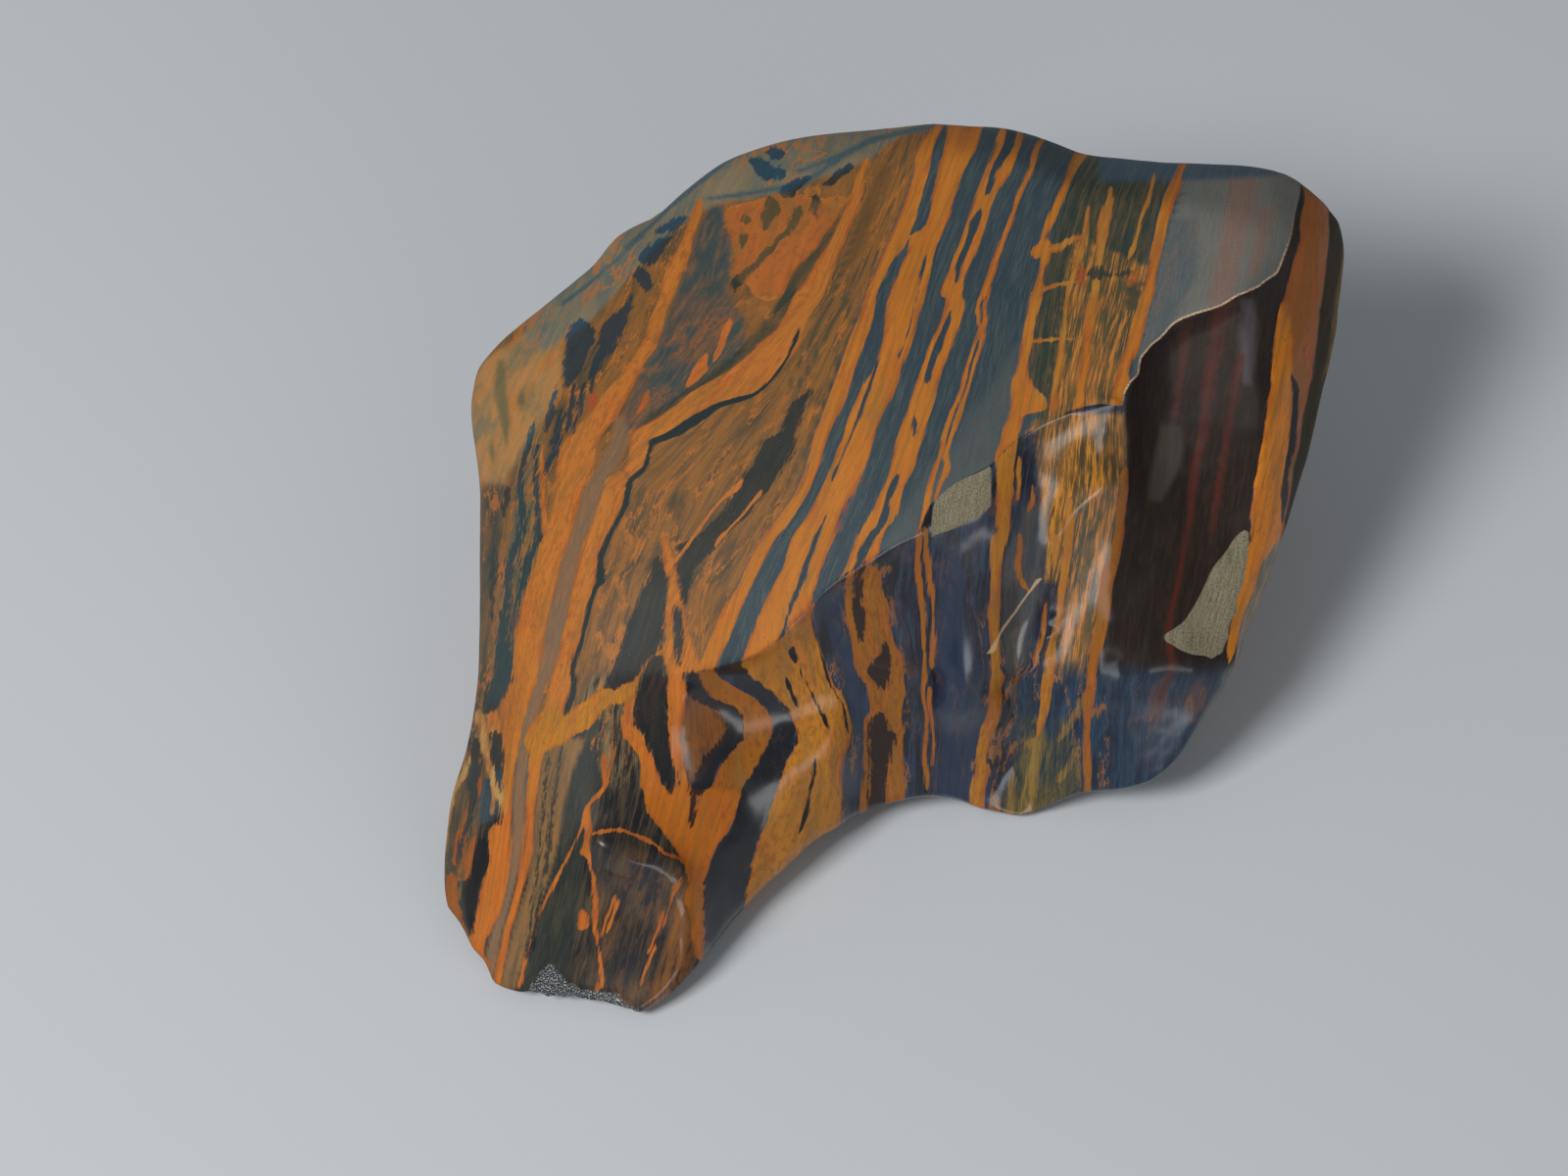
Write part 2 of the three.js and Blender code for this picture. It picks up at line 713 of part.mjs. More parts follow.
// Each corner moves to the middle of the faces round it, so that their sizes even out.
function relax(corners, faces, rounds, fixed) {
  const middle = new THREE.Vector3();
  let fineness = [];
  for (let round = 0; round < rounds; round += 1) {
    if (round % FINENESS_EVERY === 0) fineness = corners.map(finenessAt);
    const sums = corners.map(() => ({ middle: new THREE.Vector3(), weight: 0 }));
    faces.forEach(([first, second, third]) => {
      const face = new THREE.Triangle(corners[first], corners[second], corners[third]);
      const area = face.getArea() * (fineness[first] + fineness[second] + fineness[third]);
      face.getMidpoint(middle).multiplyScalar(area);
      [first, second, third].forEach((corner) => {
        sums[corner].middle.add(middle);
        sums[corner].weight += area;
      });
    });
    corners.forEach((corner, index) => {
      if (fixed.has(index)) return;
      const ray = sums[index].middle.divideScalar(sums[index].weight).sub(BALL_CENTRE);
      const reach = ray.length();
      corner.copy(toSkin(ray.normalize(), reach, (point) => gapToNet(point) > 0));
    });
  }
}

// Corners close to a sharp line move onto it, so that the line stays clean.
function snapToLines(corners) {
  const fixed = new Set();
  const lines = [RIDGE, ...EDGES.map(({ path }) => path)];
  corners.forEach((corner, index) => {
    lines.forEach((line) => {
      const near = nearestOn(line, false, corner.x, corner.y);
      if (fixed.has(index) || near.distance > SNAP_DISTANCE) return;
      const place = new THREE.Vector3(near.x, near.y, skinAt(near.x, near.y)[0]);
      const isTaken = [...fixed].some((other) => corners[other].distanceTo(place) < SNAP_DISTANCE);
      if (isTaken || Math.abs(corner.z - place.z) > 3 * SNAP_DISTANCE) return;
      corner.copy(place);
      fixed.add(index);
    });
  });
  return fixed;
}

function faceShape(a, b, c) {
  const sides = [a.distanceTo(b), b.distanceTo(c), c.distanceTo(a)];
  const area = new THREE.Triangle(a, b, c).getArea();
  return (4 * Math.sqrt(3) * area) / (sides[0] ** 2 + sides[1] ** 2 + sides[2] ** 2);
}

// Of the two ways to cut each pair of faces, keep the one that lies closer to the stone's skin
// and makes the better faces.
function turnEdges(corners, faces) {
  const owners = new Map();
  faces.forEach((face, index) => {
    face.forEach((corner, place) => {
      owners.set(`${corner} ${face[(place + 1) % 3]}`, { index, apex: face[(place + 2) % 3] });
    });
  });
  const touched = new Set();
  const linked = new Set(owners.keys());
  const cost = (a, b, c, d) => {
    const shape = Math.min(faceShape(a, b, c), faceShape(a, d, b));
    const gap = Math.abs(gapToNet(a.clone().add(b).multiplyScalar(0.5)));
    return gap * TURN.gapPrice + TURN.thinPrice / Math.max(shape, TURN.thinnest);
  };
  owners.forEach((mine, key) => {
    const [from, to] = key.split(" ").map(Number);
    const theirs = owners.get(`${to} ${from}`);
    if (from > to || touched.has(mine.index) || touched.has(theirs.index)) return;
    if (linked.has(`${mine.apex} ${theirs.apex}`) || linked.has(`${theirs.apex} ${mine.apex}`)) return;
    const [a, b, c, d] = [from, to, mine.apex, theirs.apex].map((id) => corners[id]);
    const first = new THREE.Triangle(d, b, c).getNormal(new THREE.Vector3());
    const second = new THREE.Triangle(c, a, d).getNormal(new THREE.Vector3());
    if (first.dot(second) < TURN.leastFold) return;
    if (cost(c, d, a, b) > cost(a, b, c, d) - TURN.leastGain) return;
    faces[mine.index] = [theirs.apex, to, mine.apex];
    faces[theirs.index] = [mine.apex, from, theirs.apex];
    touched.add(mine.index).add(theirs.index);
    linked.add(`${mine.apex} ${theirs.apex}`);
  });
}

// From the sheet to the part's own frame, with the resting plane at z = 0.
function placeCorner(corner) {
  const spread = (EYE - corner.z) / EYE;
  const across = corner.x * spread;
  const up = corner.y * spread;
  const y = up * leanCos - corner.z * leanSin;
  const z = up * leanSin + corner.z * leanCos + FLOOR_DROP;
  return new THREE.Vector3(across, y, Math.abs(z) < FLOOR_SNAP ? 0 : z);
}

function stoneGeometry() {
  const { corners, faces } = ballMesh();
  corners.forEach((corner) => {
    const ray = corner.clone().multiply(BALL_SPREAD).normalize();
    corner.copy(toSkin(ray, BALL_SPREAD.z, (point) => gapToNet(point) > 0));
  });
  relax(corners, faces, RELAX_ROUNDS, new Set());
  const fixed = snapToLines(corners);
  for (let pass = 0; pass < FIRST_TURNS; pass += 1) turnEdges(corners, faces);
  relax(corners, faces, RELAX_AFTER_TURNS, fixed);
  for (let pass = 0; pass < LAST_TURNS; pass += 1) turnEdges(corners, faces);
  corners.forEach((corner, index) => {
    if (fixed.has(index)) return;
    const ray = corner.clone().sub(BALL_CENTRE);
    const reach = ray.length();
    corner.copy(toSkin(ray.normalize(), reach, isOutside));
  });

  const placed = corners.map(placeCorner);
  const box = new THREE.Box3().setFromPoints(placed);
  const middle = box.getCenter(new THREE.Vector3());
  placed.forEach((corner) => corner.sub(new THREE.Vector3(middle.x, middle.y, box.min.z)));
  const geometry = new THREE.BufferGeometry().setFromPoints(placed);
  geometry.setIndex(faces.flat());
  geometry.computeVertexNormals();
  return geometry;
}

// ---- the part ------------------------------------------------------------------------------------
const tigerIron = new THREE.MeshStandardMaterial({
  name: "banded tiger iron",
  color: 0x8a5a34,
  roughness: 0.38,
  metalness: 0,
});

const stone = new THREE.Mesh(stoneGeometry(), tigerIron);
stone.name = "stone";

const part = new THREE.Group();
part.name = "rough tiger iron";
part.add(stone);

export default part;
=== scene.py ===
"""Rough tiger iron: a polished, waisted lump of banded ochre jasper and dark iron ore.

The bands are drawn on a sheet that leans back over the stone, in millimetres, and are carried
through the stone from there. Sheet x runs to the right and sheet y up. Depth goes into the stone,
away from the eye point.
"""

import math

import bmesh
import bpy
import numpy as np
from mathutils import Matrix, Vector, noise
from mathutils.bvhtree import BVHTree


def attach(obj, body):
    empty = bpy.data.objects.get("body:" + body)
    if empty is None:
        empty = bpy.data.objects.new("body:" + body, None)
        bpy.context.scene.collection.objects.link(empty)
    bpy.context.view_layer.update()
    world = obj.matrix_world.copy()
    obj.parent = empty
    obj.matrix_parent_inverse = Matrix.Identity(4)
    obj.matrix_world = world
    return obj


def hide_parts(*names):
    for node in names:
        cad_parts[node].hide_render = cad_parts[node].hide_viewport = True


bl_info = {
    "name": "Rough tiger iron",
    "version": (1, 0, 0),
    "blender": (4, 5, 0),
    "location": "View3D > Sidebar > Tiger iron",
    "description": "Builds a polished rough of tiger iron with its bands, and a plain stage",
    "category": "Object",
}

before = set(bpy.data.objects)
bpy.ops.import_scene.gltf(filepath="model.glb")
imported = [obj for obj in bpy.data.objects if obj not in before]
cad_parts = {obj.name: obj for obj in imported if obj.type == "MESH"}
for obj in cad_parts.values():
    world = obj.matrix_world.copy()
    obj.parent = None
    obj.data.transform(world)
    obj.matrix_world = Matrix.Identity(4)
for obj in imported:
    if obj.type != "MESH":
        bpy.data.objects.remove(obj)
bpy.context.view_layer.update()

MM = 0.001  # one millimetre, in metres
FAR = 1e6  # millimetres, farther than any part of the stone

# The sheet's place in the stone's own frame, in millimetres.
EYE = 450.0  # from the sheet to the eye point
LEAN = math.radians(35)  # the sheet rises toward the back at this angle
ORIGIN = (-11.7289, -3.0303, 22.0)
BACK_TURN = 0.34  # how far the bands slip to the right for each millimetre of depth
BACK_RISE = 0.2  # and how far up

# The sides of the main ridge that a zone or band may keep to.
SIDES = ("any", "broad", "front")

# The main ridge between the broad upper face and the front, from left to right.
RIDGE = (
    (-11, -8.3), (-9.4, -8.6), (-7.5, -8.4), (-6.7, -7.9), (-4.1, -7.4), (-2.7, -6.9),
    (-.6, -5.3), (.6, -3.8), (2.2, -2.3), (4.4, -.1), (6.4, 1.5), (8.9, 2.8), (9.7, 3.6),
    (12, 4.7), (13.6, 5.4), (14.8, 8.4), (17.1, 10.5), (21, 12.5), (23.3, 14.8), (25, 15.9),
    (26.4, 16.7), (28, 17.6), (30, 18.4), (32.1, 18.8), (34.5, 18.6), (34.7, 19.9), (35.3, 21),
    (36.1, 21.8), (36.4, 23.5), (37.5, 24.8), (38.5, 25.6), (39.6, 26.9), (40.4, 27.45),
    (42, 28.05), (43.8, 28.55), (44.7, 28.9), (46.2, 29.85), (47, 30.15), (48.5, 30.8),
    (49.2, 31.4), (50.3, 32.1), (50.6, 32.8), (51.2, 34.5), (51.7, 36), (52, 37.8), (52.6, 40),
    (52.8, 41.7),
)

# The line goes on down the foot, and these far corners close the front.
FOOT_LINE = ((-8, -60), (-8, -45), (-9.6, -28), (-11.5, -20), (-11.5, -12))
FRONT_CORNERS = ((70, 50), (70, -60))

# Lines that follow the bands, from left to right: sheet x at each height of LAYER_HEIGHTS.
LAYER_HEIGHTS = (50, 40, 30, 20, 10, 0, -10, -20, -30, -40)
LAYERS = (
    (-8, -13.5, -19, -24, -27, -28.2, -29.5, -31, -32.5, -33),
    (-3.5, -8.5, -11.9, -17.1, -21.8, -24.8, -26.9, -28.2, -29.6, -31),
    (10, 6.5, 2.5, -6.5, -17.2, -20.5, -23, -25.7, -26.9, -29.2),
    (16.8, 13.2, 8.9, 5.6, 2, -4.1, -6.8, -5.5, -9, -12),
    (20, 16.2, 12.6, 9.5, 5.4, 1, 3, 2.8, 0, -2),
    (24.5, 20.5, 17.1, 14.3, 11.1, 8.5, 10.1, 10, 10, 10),
    (28.2, 24, 20.5, 18.3, 15.1, 14.1, 14.6, 14.5, 14.4, 14.4),
    (34, 28.3, 25.8, 24.5, 22.5, 21.5, 21.2, 19.8, 19, 18.5),
    (43.5, 39.5, 37, 34.3, 34.6, 32.8, 31.2, 30.9, 30.5, 30),
    (47.5, 46.3, 45.1, 43.3, 41.7, 40.2, 38.5, 37.5, 36.5, 36),
    (55.5, 54, 53, 51.5, 49.4, 47.4, 44, 42.5, 41.5, 40.5),
)
MARK_HEIGHT = 10  # where a line's measure is its own x
LEAST_GAP = 0.4  # least distance between two lines

# Soft zones, each over the ones before: name, side of the ridge, look, way and rows. A row holds a
# place along the way, then the low and the high edge across it: "up" runs along y, "level" along x.
ZONES = (
    ("left_ground", "any", "brown", "up", ((-19, -33, -30), (-16, -33, -24), (-10, -33, -16),
     (-8.4, -33, -8.8), (-5, -33, -7.5), (0, -33, -4.75), (5, -33, -2.3), (7.5, -33, -.4), (10, -33, 1.45),
     (15, -33, 2.95), (20, -33, 4.8), (25, -33, 6.5), (30, -33, 8.4), (35, -33, 10.5), (40, -33, 12.5),
     (45, -33, 14), (51, -33, 16.5))),
    ("foot_ground", "any", "black", "up", ((-45, -40, -4), (-35, -37, -8.5), (-30, -36, -9.5),
     (-25, -33, -10), (-20, -22.5, -9.5), (-15, -21.5, -10), (-12, -21, -9.5), (-9, -20, -10))),
    ("foot_gloss", "any", "polish", "up", ((-44, -20, -13), (-40, -20, -11), (-35, -19.4, -10),
     (-30, -19.6, -10.1), (-28, -20, -11), (-26.2, -20, -16))),
    ("foot_slate", "any", "slate_foot", "up", ((-43, -28.8, -24), (-40, -28, -22.5), (-35, -26.6, -21.2),
     (-30, -25.6, -20.8), (-25, -24.8, -19.8), (-20, -23, -19), (-16, -21.4, -18.4), (-13.5, -20.4, -18.4),
     (-11.5, -19.4, -18.8))),
    ("left_edge_ground", "any", "edge_brown", "up", ((-36, -36, -31.6), (-34, -37, -32.4),
     (-31, -37, -32.8), (-28, -37, -32.2), (-25, -36, -31.4), (-20, -36, -30.8), (-18, -36, -30.8))),
    ("right_edge", "any", "olive_dark", "up", ((5.5, 50.6, 53.5), (7.5, 51.2, 54.5), (10, 51.7, 55),
     (12.5, 52, 56), (15, 52.6, 57), (17.5, 52.9, 57.5), (20, 53.5, 58), (22.5, 54, 58.5), (25, 54.3, 59),
     (27.5, 54.5, 59), (30, 54.8, 59.5), (32.5, 55.1, 59.5), (35, 55.5, 60), (40, 55.4, 60),
     (41.5, 55, 60))),
    ("lens_ground", "any", "lens", "up", ((16.3, -16.6, -15.2), (17.5, -16.4, -13.4), (20, -15.5, -10),
     (22.5, -14.5, -6.5), (25, -12.8, -4), (27.5, -11.9, -4), (30, -11, -5.6), (32.5, -10, -5.4),
     (35, -9.4, -5.4), (37.5, -8.3, -6.1), (38.8, -7.6, -6.2))),
    ("fibre_thin", "broad", "fibre_thin", "up", ((19.5, 25.6, 27.4), (22.5, 24.8, 28), (25.5, 25.2, 29.6),
     (28, 25.6, 31), (31, 26.2, 36.4), (33.8, 27, 37.2), (37.5, 28, 38), (42, 29.6, 39.2),
     (46, 30.4, 40.4))),
    ("slate_low", "broad", "slate_low", "up", ((0, 7.8, 9.2), (2, 8.5, 12), (5, 10.5, 15.2),
     (11, 14.5, 21.2), (13.8, 16.6, 23.3), (16.5, 18.4, 24), (19, 20.2, 24.3), (21.5, 21.8, 24.2),
     (24, 23.2, 23.6))),
    ("fibre_top", "broad", "fibre", "up", ((15, 24, 34), (17.5, 26.2, 34), (20, 27, 34), (25, 28, 35),
     (27.5, 28.2, 35.8), (30, 28.5, 36.5), (32.5, 29, 37.3), (33.8, 29.2, 35), (35.4, 29.4, 31.2))),
    # The grey over this upper-right part of the broad face is partly a painted sheen, as are its bluish
    # patches; its reddish streaks are the stone's own.
    ("grey_brown", "broad", "grey", "up", ((20, 35.2, 36), (25, 36.6, 40), (30, 37.8, 50),
     (35, 38.8, 52.2), (40, 40.3, 53), (44, 41.2, 53.5))),
    ("grey_red", "broad", "grey_warm", "up", ((29, 43.2, 45.2), (31, 43.6, 46), (33.5, 44.2, 46.6),
     (36, 44.6, 47.2), (39, 45.2, 48), (42, 45.6, 48.4))),
    ("grey_red2", "broad", "grey_warm", "up", ((32, 47.4, 48.4), (35, 48, 49.2), (38.5, 48.4, 50))),
    ("grey_blue", "broad", "grey_cool", "up", ((22, 35.8, 37.2), (25, 36.4, 39), (29, 37.2, 40.6),
     (31.5, 37.8, 42), (34.5, 38.4, 42.2), (37.5, 39.4, 42.2))),
    # The blue of the top rim is partly a painted reflection.
    ("top_rim", "any", "rim_blue", "level", ((32.5, 41.4, 46), (36, 41.6, 45.5), (41, 41.6, 45),
     (49, 42, 45), (52.5, 42.4, 45))),
    ("gold_scoop", "front", "gold", "up", ((1, 26.6, 28.2), (4, 26.6, 28.4), (8.1, 26, 30),
     (10, 26.2, 34.2), (12, 26, 34.8), (14, 25.8, 35), (16, 25.6, 35), (17.5, 26.2, 34.8))),
    ("fibre_front", "front", "fibre", "up", ((-14, 27.5, 29), (-10, 27.6, 30.7), (-7.5, 27.9, 31),
     (-5, 28, 31.6), (-2.5, 28.5, 31.9), (0, 28.8, 32.3), (2.5, 29.2, 32.8), (5, 29.5, 33.5),
     (8.5, 29.6, 34.1), (10, 30, 34.1))),
    ("scoop", "front", "scoop", "up", ((-13, 31.6, 45), (-9, 32, 45.5), (-4, 33, 46.2), (0, 33.4, 46.8),
     (4, 34.1, 47.5), (10, 35, 48), (18, 34.8, 50), (30, 35, 54.5), (43, 35, 54.5))),
    # The navy zone's blue is partly the ore's own blue and partly a painted reflection of a blue floor.
    ("navy_front", "front", "navy", "up", ((-26, 24, 46.2), (-18, 24, 46.2), (-14, 23.6, 46.2),
     (-10, 23.8, 46.2), (-8.4, 24, 46.2))),
    # These two blue zones are lighter hematite placed where the front catches highlights: a painted sheen
    # over the ore's own blue.
    ("sheen_b", "front", "blue", "up", ((-23, 15.5, 19), (-19.5, 16, 19.5), (-14, 16.4, 19.8),
     (-9, 16.2, 19.8), (-4, 15.8, 18), (0, 16.2, 18.2), (4, 16.6, 17.6))),
    ("column_a", "front", "blue", "up", ((-21, 6.4, 7.6), (-16, 6.8, 8), (-12, 6.6, 8), (-9, 5.8, 7.6),
     (-5.3, 4.8, 7), (-3, 4.4, 6.6), (-.7, 4.1, 6.4))),
    ("mid_ground", "front", "moss_front", "up", ((-12, 22.6, 23.6), (-8, 22.2, 24.4), (-4, 22, 25.2),
     (0, 22.4, 26.2), (4, 23, 26.6), (8, 24.4, 26.4))),
    ("green_low", "front", "green_low", "up", ((-25, 22, 30), (-20, 23, 29.4), (-17.5, 23.6, 28.4),
     (-15, 24, 26.8), (-13, 24.6, 25.6))),
    ("d_mottle", "front", "messy", "up", ((-25, 7.2, 12.8), (-10, 7.2, 12.5), (-4, 6.2, 11.2),
     (4, 5.8, 10.6))),
    ("low_mottle", "front", "messy", "up", ((-25, 18.4, 33), (-16, 19, 33), (-10, 20, 32.6),
     (-4, 20, 23.4))),
    ("s_mottle", "front", "messy", "up", ((-32, -4.8, 6), (-26, -3.6, 7.2), (-16, -3, 7.2), (-10, -1, 5.8),
     (-2, 1.2, 3.2))),
    ("fan", "any", "messy", "up", ((-20.8, -17.4, -17), (-19.2, -18.2, -16), (-17, -19.4, -14.4),
     (-14.5, -20.8, -12.8), (-12, -21, -11.4), (-8, -19.4, -10.6), (-2, -17.8, -8.8), (4, -16, -10))),
    ("green_low2", "front", "green_low", "up", ((-23, 26.6, 30.6), (-20, 27, 30.6), (-16, 27.6, 29.8),
     (-13.8, 28, 28.6))),
    ("rust_low", "front", "rust_low", "up", ((-14, 37.6, 38.2), (-12.8, 37.3, 38.8), (-11.5, 37.2, 39.3),
     (-10, 37.3, 39.1), (-9, 38, 38.6))),
    ("rust_low2", "front", "rust_low", "up", ((-13.2, 41.3, 41.7), (-12.4, 41, 42.6), (-11.4, 40.8, 43.2),
     (-10.2, 40.9, 43.1), (-9.4, 41.6, 42.2))),
    ("foot_olive", "any", "olive", "up", ((-43, -29.5, -28.2), (-40, -28.8, -27.2), (-37.5, -28.3, -26.2),
     (-35, -27.6, -25.5), (-32.5, -26.9, -25), (-30, -26, -24.2), (-27.5, -25.7, -23.4),
     (-25, -25.5, -22.8), (-22.5, -25.4, -22.5), (-20, -25.1, -22), (-17.5, -24.7, -21.2),
     (-15.7, -23.8, -20.3))),
    ("grey_streak", "any", "purple", "up", ((-43, -31.2, -30.4), (-40, -30.8, -29.7),
     (-37.5, -30.4, -29.2), (-35, -29.8, -28.7), (-32.5, -28.8, -27.95), (-30, -28.3, -27.4),
     (-27.5, -28, -26.7), (-25, -27.75, -26.4), (-22.5, -27.65, -26.4), (-20, -27.55, -26.3),
     (-17.5, -27.3, -26.05), (-15, -26.9, -25.95), (-12.5, -26.6, -25.1), (-10, -25.75, -24.4),
     (-7.5, -25.1, -23.2), (-5, -24.4, -22.6), (-2.5, -23.85, -22.05), (0, -23.3, -21.55),
     (2.5, -22.7, -21.15), (5, -21.95, -20.4), (7.5, -21.2, -19.45), (10, -20.3, -18.5),
     (12.5, -18.8, -17.1), (15, -17.55, -15.75), (17.2, -17.2, -16.2))),
    ("flank", "any", "flank", "up", ((-11.5, -30.6, -28.8), (-9, -30, -27.6), (-5, -29.6, -27.2),
     (1, -28.8, -25.6), (4, -28.2, -25), (7, -27.6, -24.8), (10, -27.6, -24.8), (13, -27.2, -24.8),
     (16, -26.8, -24.6), (17.5, -26, -24.4))),
    ("flank_edge", "any", "edge_brown", "up", ((-15, -34.4, -30.8), (-10, -34, -30.2), (-5, -34, -30),
     (0, -33.4, -29.6), (4, -33, -29), (11.6, -33, -28.6))),
    # The rim spots' cool dark tone is partly a painted blue reflection.
    ("rim_spots", "any", "cool_dark", "up", ((11, -30, -24), (16, -26, -19.4), (20, -24.4, -19),
     (24, -24, -16.4), (27, -24, -15), (30, -20, -13.6), (33, -18, -12.4), (36, -16, -10.6),
     (38.5, -14, -9.5))),
    ("bulge", "any", "tan", "up", ((11, -31.6, -28.5), (13, -32, -27.2), (15, -33, -26), (20, -33, -22.8),
     (22.5, -32, -22.6), (25, -28, -22.6), (26.5, -26, -22.2), (28, -24, -22))),
    # The bevel's light blue-grey veil and the blue of its streaks are partly a painted reflection, over
    # the stone's own bands.
    ("bevel", "any", "veil", "level", ((-26, 24.2, 36), (-24, 24.4, 36), (-22, 25.4, 38), (-20, 27, 40),
     (-17.8, 29.4, 41), (-16, 31.5, 42), (-14, 33.8, 43.5), (-11.7, 36, 45), (-8.8, 38.4, 46),
     (-6.2, 39.4, 47), (-.2, 40, 49), (2, 41.6, 49), (5.2, 42.2, 49), (8.3, 43.5, 49), (11.5, 45.8, 49),
     (13.5, 47.3, 49))),
    ("bevel_s1", "any", "streak_blue", "level", ((-16, 34.5, 35.1), (-14, 36.2, 36.8), (-11.6, 38.6, 39.2),
     (-10, 39.9, 40.5), (-8.2, 41.4, 42), (-5.6, 43.5, 44.2), (-3.2, 44.7, 45.4))),
    ("bevel_s2", "any", "streak_blue", "level", ((-7.8, 39.6, 39.9), (-5, 39.8, 40.3), (-1.5, 40.4, 40.9),
     (2.1, 41, 41.6), (4, 42.3, 43), (5.1, 43.1, 43.8), (7, 44.3, 45), (9, 45.4, 46.1))),
    ("bevel_s3", "any", "streak_blue", "level", ((1.5, 42.3, 42.7), (4, 43.2, 43.7), (5.9, 44, 44.5),
     (9.3, 45.5, 46.1), (12, 46.2, 46.8), (15.2, 46.9, 47.4))),
    ("bevel_s4", "any", "streak_blue", "level", ((-22.5, 28.8, 29.4), (-20, 30.7, 31.2), (-17, 33.3, 33.8),
     (-14.5, 35.6, 36))),
    ("brown_stripe", "any", "umber", "up", ((32.5, 6.2, 6.6), (33.5, 6.4, 7.4), (35, 6.6, 8.2),
     (37.5, 7.4, 9.1), (40.5, 8.6, 10), (42, 9.3, 10.8), (43, 10, 11.2))),
    ("patch_brown", "any", "umber2", "up", ((-19.5, -9.6, -8.4), (-17.5, -10, -7.2), (-16.2, -10.3, -6.2),
     (-15, -10.5, -5.5), (-13.7, -10.3, -5.4), (-12.5, -10, -6), (-11.2, -9.7, -7.8))),
    ("red_zone", "any", "redarea", "up", ((30, -3.8, 0), (32.5, -5.2, 1.8), (35, -5.6, 4.2),
     (37.5, -6.2, 5.6), (38.6, -5.8, 5.7), (39.4, -3.6, 4.2), (40, -2, .6))),
    ("tail", "any", "streaks", "up", ((-43.5, -13.6, -12.8), (-42, -13.8, -11.5), (-40, -13.2, -10),
     (-37.5, -12.4, -8.8), (-35, -11.6, -8.8), (-33, -11.4, -9.2), (-31.5, -11, -9),
     (-29.5, -10.2, -8.8))),
    ("b_red", "broad", "red", "up", ((5.5, 5, 5.2), (7.5, 5.6, 5.9), (9.5, 6.45, 6.8), (11.5, 7.35, 7.7),
     (13.8, 7.7, 8.1), (15.5, 8.15, 8.45), (17, 8.6, 8.8))),
    ("w_top", "any", "lens_dark", "up", ((16.6, -15, -14), (17.5, -13.8, -12.6), (18.5, -12.4, -11.2),
     (20, -10.4, -9.5), (21, -8.8, -7.6), (22.5, -7, -5.1), (23.8, -5.2, -3.6), (25, -4, -2.3),
     (26.5, -2.4, -.5), (28, -1.4, .4), (29.5, -.4, 1), (31, .2, 1.5), (32.5, 1.2, 2.6), (33.8, 2.4, 3.8),
     (35, 3.8, 4.6), (37.8, 5.5, 5.7))),
    ("bulge_a", "any", "moss", "up", ((14.8, -28.5, -28.2), (17, -29, -28), (20, -29.6, -28.3),
     (22.4, -29.4, -28.4), (23, -29.2, -28.6))),
    ("bulge_b", "any", "moss", "up", ((18.4, -27, -26.7), (19, -27.3, -26.4), (19.6, -27.2, -26.4),
     (20, -27, -26.6))),
    ("bulge_c", "any", "moss", "up", ((13.1, -29.8, -29.6), (13.7, -30.1, -29.45), (14.2, -30.05, -29.55),
     (14.7, -29.9, -29.7))),
    ("f_a", "any", "dark_soft", "up", ((20.6, .4, .6), (22.5, 1.2, 1.5), (24.2, 2, 2.4), (26.9, 3.3, 3.7),
     (30, 4.9, 5.3), (33, 6, 6.3), (37, 7.4, 7.55))),
    ("f_b", "any", "dark_soft", "up", ((18.8, .8, 1.1), (20.5, 1.2, 1.7), (22.3, 2.2, 2.7), (24, 3.1, 3.5),
     (25.9, 4.1, 4.6), (27.5, 5, 5.4), (29, 5.8, 6.6), (30.2, 6.1, 6.4))),
    ("f_c", "any", "dark_soft", "up", ((10, 0, .3), (13, 1.5, 1.8), (16.5, 3.1, 3.4), (18.9, 3.9, 4.3),
     (21, 4.7, 5.1), (23.8, 5.6, 6), (26, 6.6, 6.9), (28, 7.2, 7.4))),
    ("red_scoop", "front", "redbrown", "up", ((-12.5, 37.6, 38.3), (-10, 38.2, 38.9), (-7.5, 38.9, 39.5),
     (-5, 38.8, 39.5), (-2.5, 39.25, 39.8), (0, 39.9, 40.4), (2.5, 40.3, 40.8), (5, 40.7, 41.3),
     (7.5, 41.2, 41.8), (10, 41.2, 42.1), (12.5, 41.6, 42.4), (15, 42.2, 43.1), (17.5, 42.45, 43.4),
     (20, 42.6, 43.8), (22.5, 42.9, 44.2), (25, 43.5, 44.8), (27.5, 43.8, 45.1), (28.8, 44, 45.6),
     (30, 44, 46.2))),
    ("brown_scoop", "front", "redbrown", "up", ((17, 39.6, 40), (21, 40, 40.6), (24, 40.4, 41.2),
     (26.5, 40.6, 41.2))),
    ("grey_scoop", "front", "scoop_grey", "up", ((21.2, 46.8, 47.6), (23, 46.6, 48), (25, 46.4, 48.3),
     (27, 46.6, 48.4), (29.1, 46.8, 48))),
    ("brown_scoop2", "front", "redbrown", "up", ((6, 43.4, 44), (10, 44, 44.6), (20, 45.6, 46.2),
     (23.5, 46.2, 47))),
    # A lighter olive-grey patch on the scoop: a painted reflection of bright light in a flat facet.
    ("olive_patch", "front", "olive_face", "up", ((9.2, 37.2, 38.6), (10.8, 37.2, 39.6),
     (12.5, 37.6, 40.4), (14.5, 38, 40.8), (16.4, 38.4, 40.6))),
    ("red_spot", "any", "red", "up", ((31.4, 30.1, 30.6), (31.9, 29.8, 30.8), (32.4, 30, 30.6))),
    ("red_spot2", "any", "red", "up", ((31, 35.5, 35.8), (31.4, 35.2, 36), (31.9, 35.3, 35.8))),
    ("red_spot3", "any", "red", "up", ((18.5, -19.7, -19.2), (19.2, -19.9, -19), (19.8, -19.7, -19.2))),
    ("red_spot4", "any", "red", "up", ((30.6, -2.4, -.6), (32, -2.5, 0), (33.2, -1.5, 0))),
    ("h_lens2", "broad", "dark_soft", "up", ((28.8, 34.7, 35.8), (29.8, 34.9, 36.5), (30.8, 35.1, 36.4))),
)

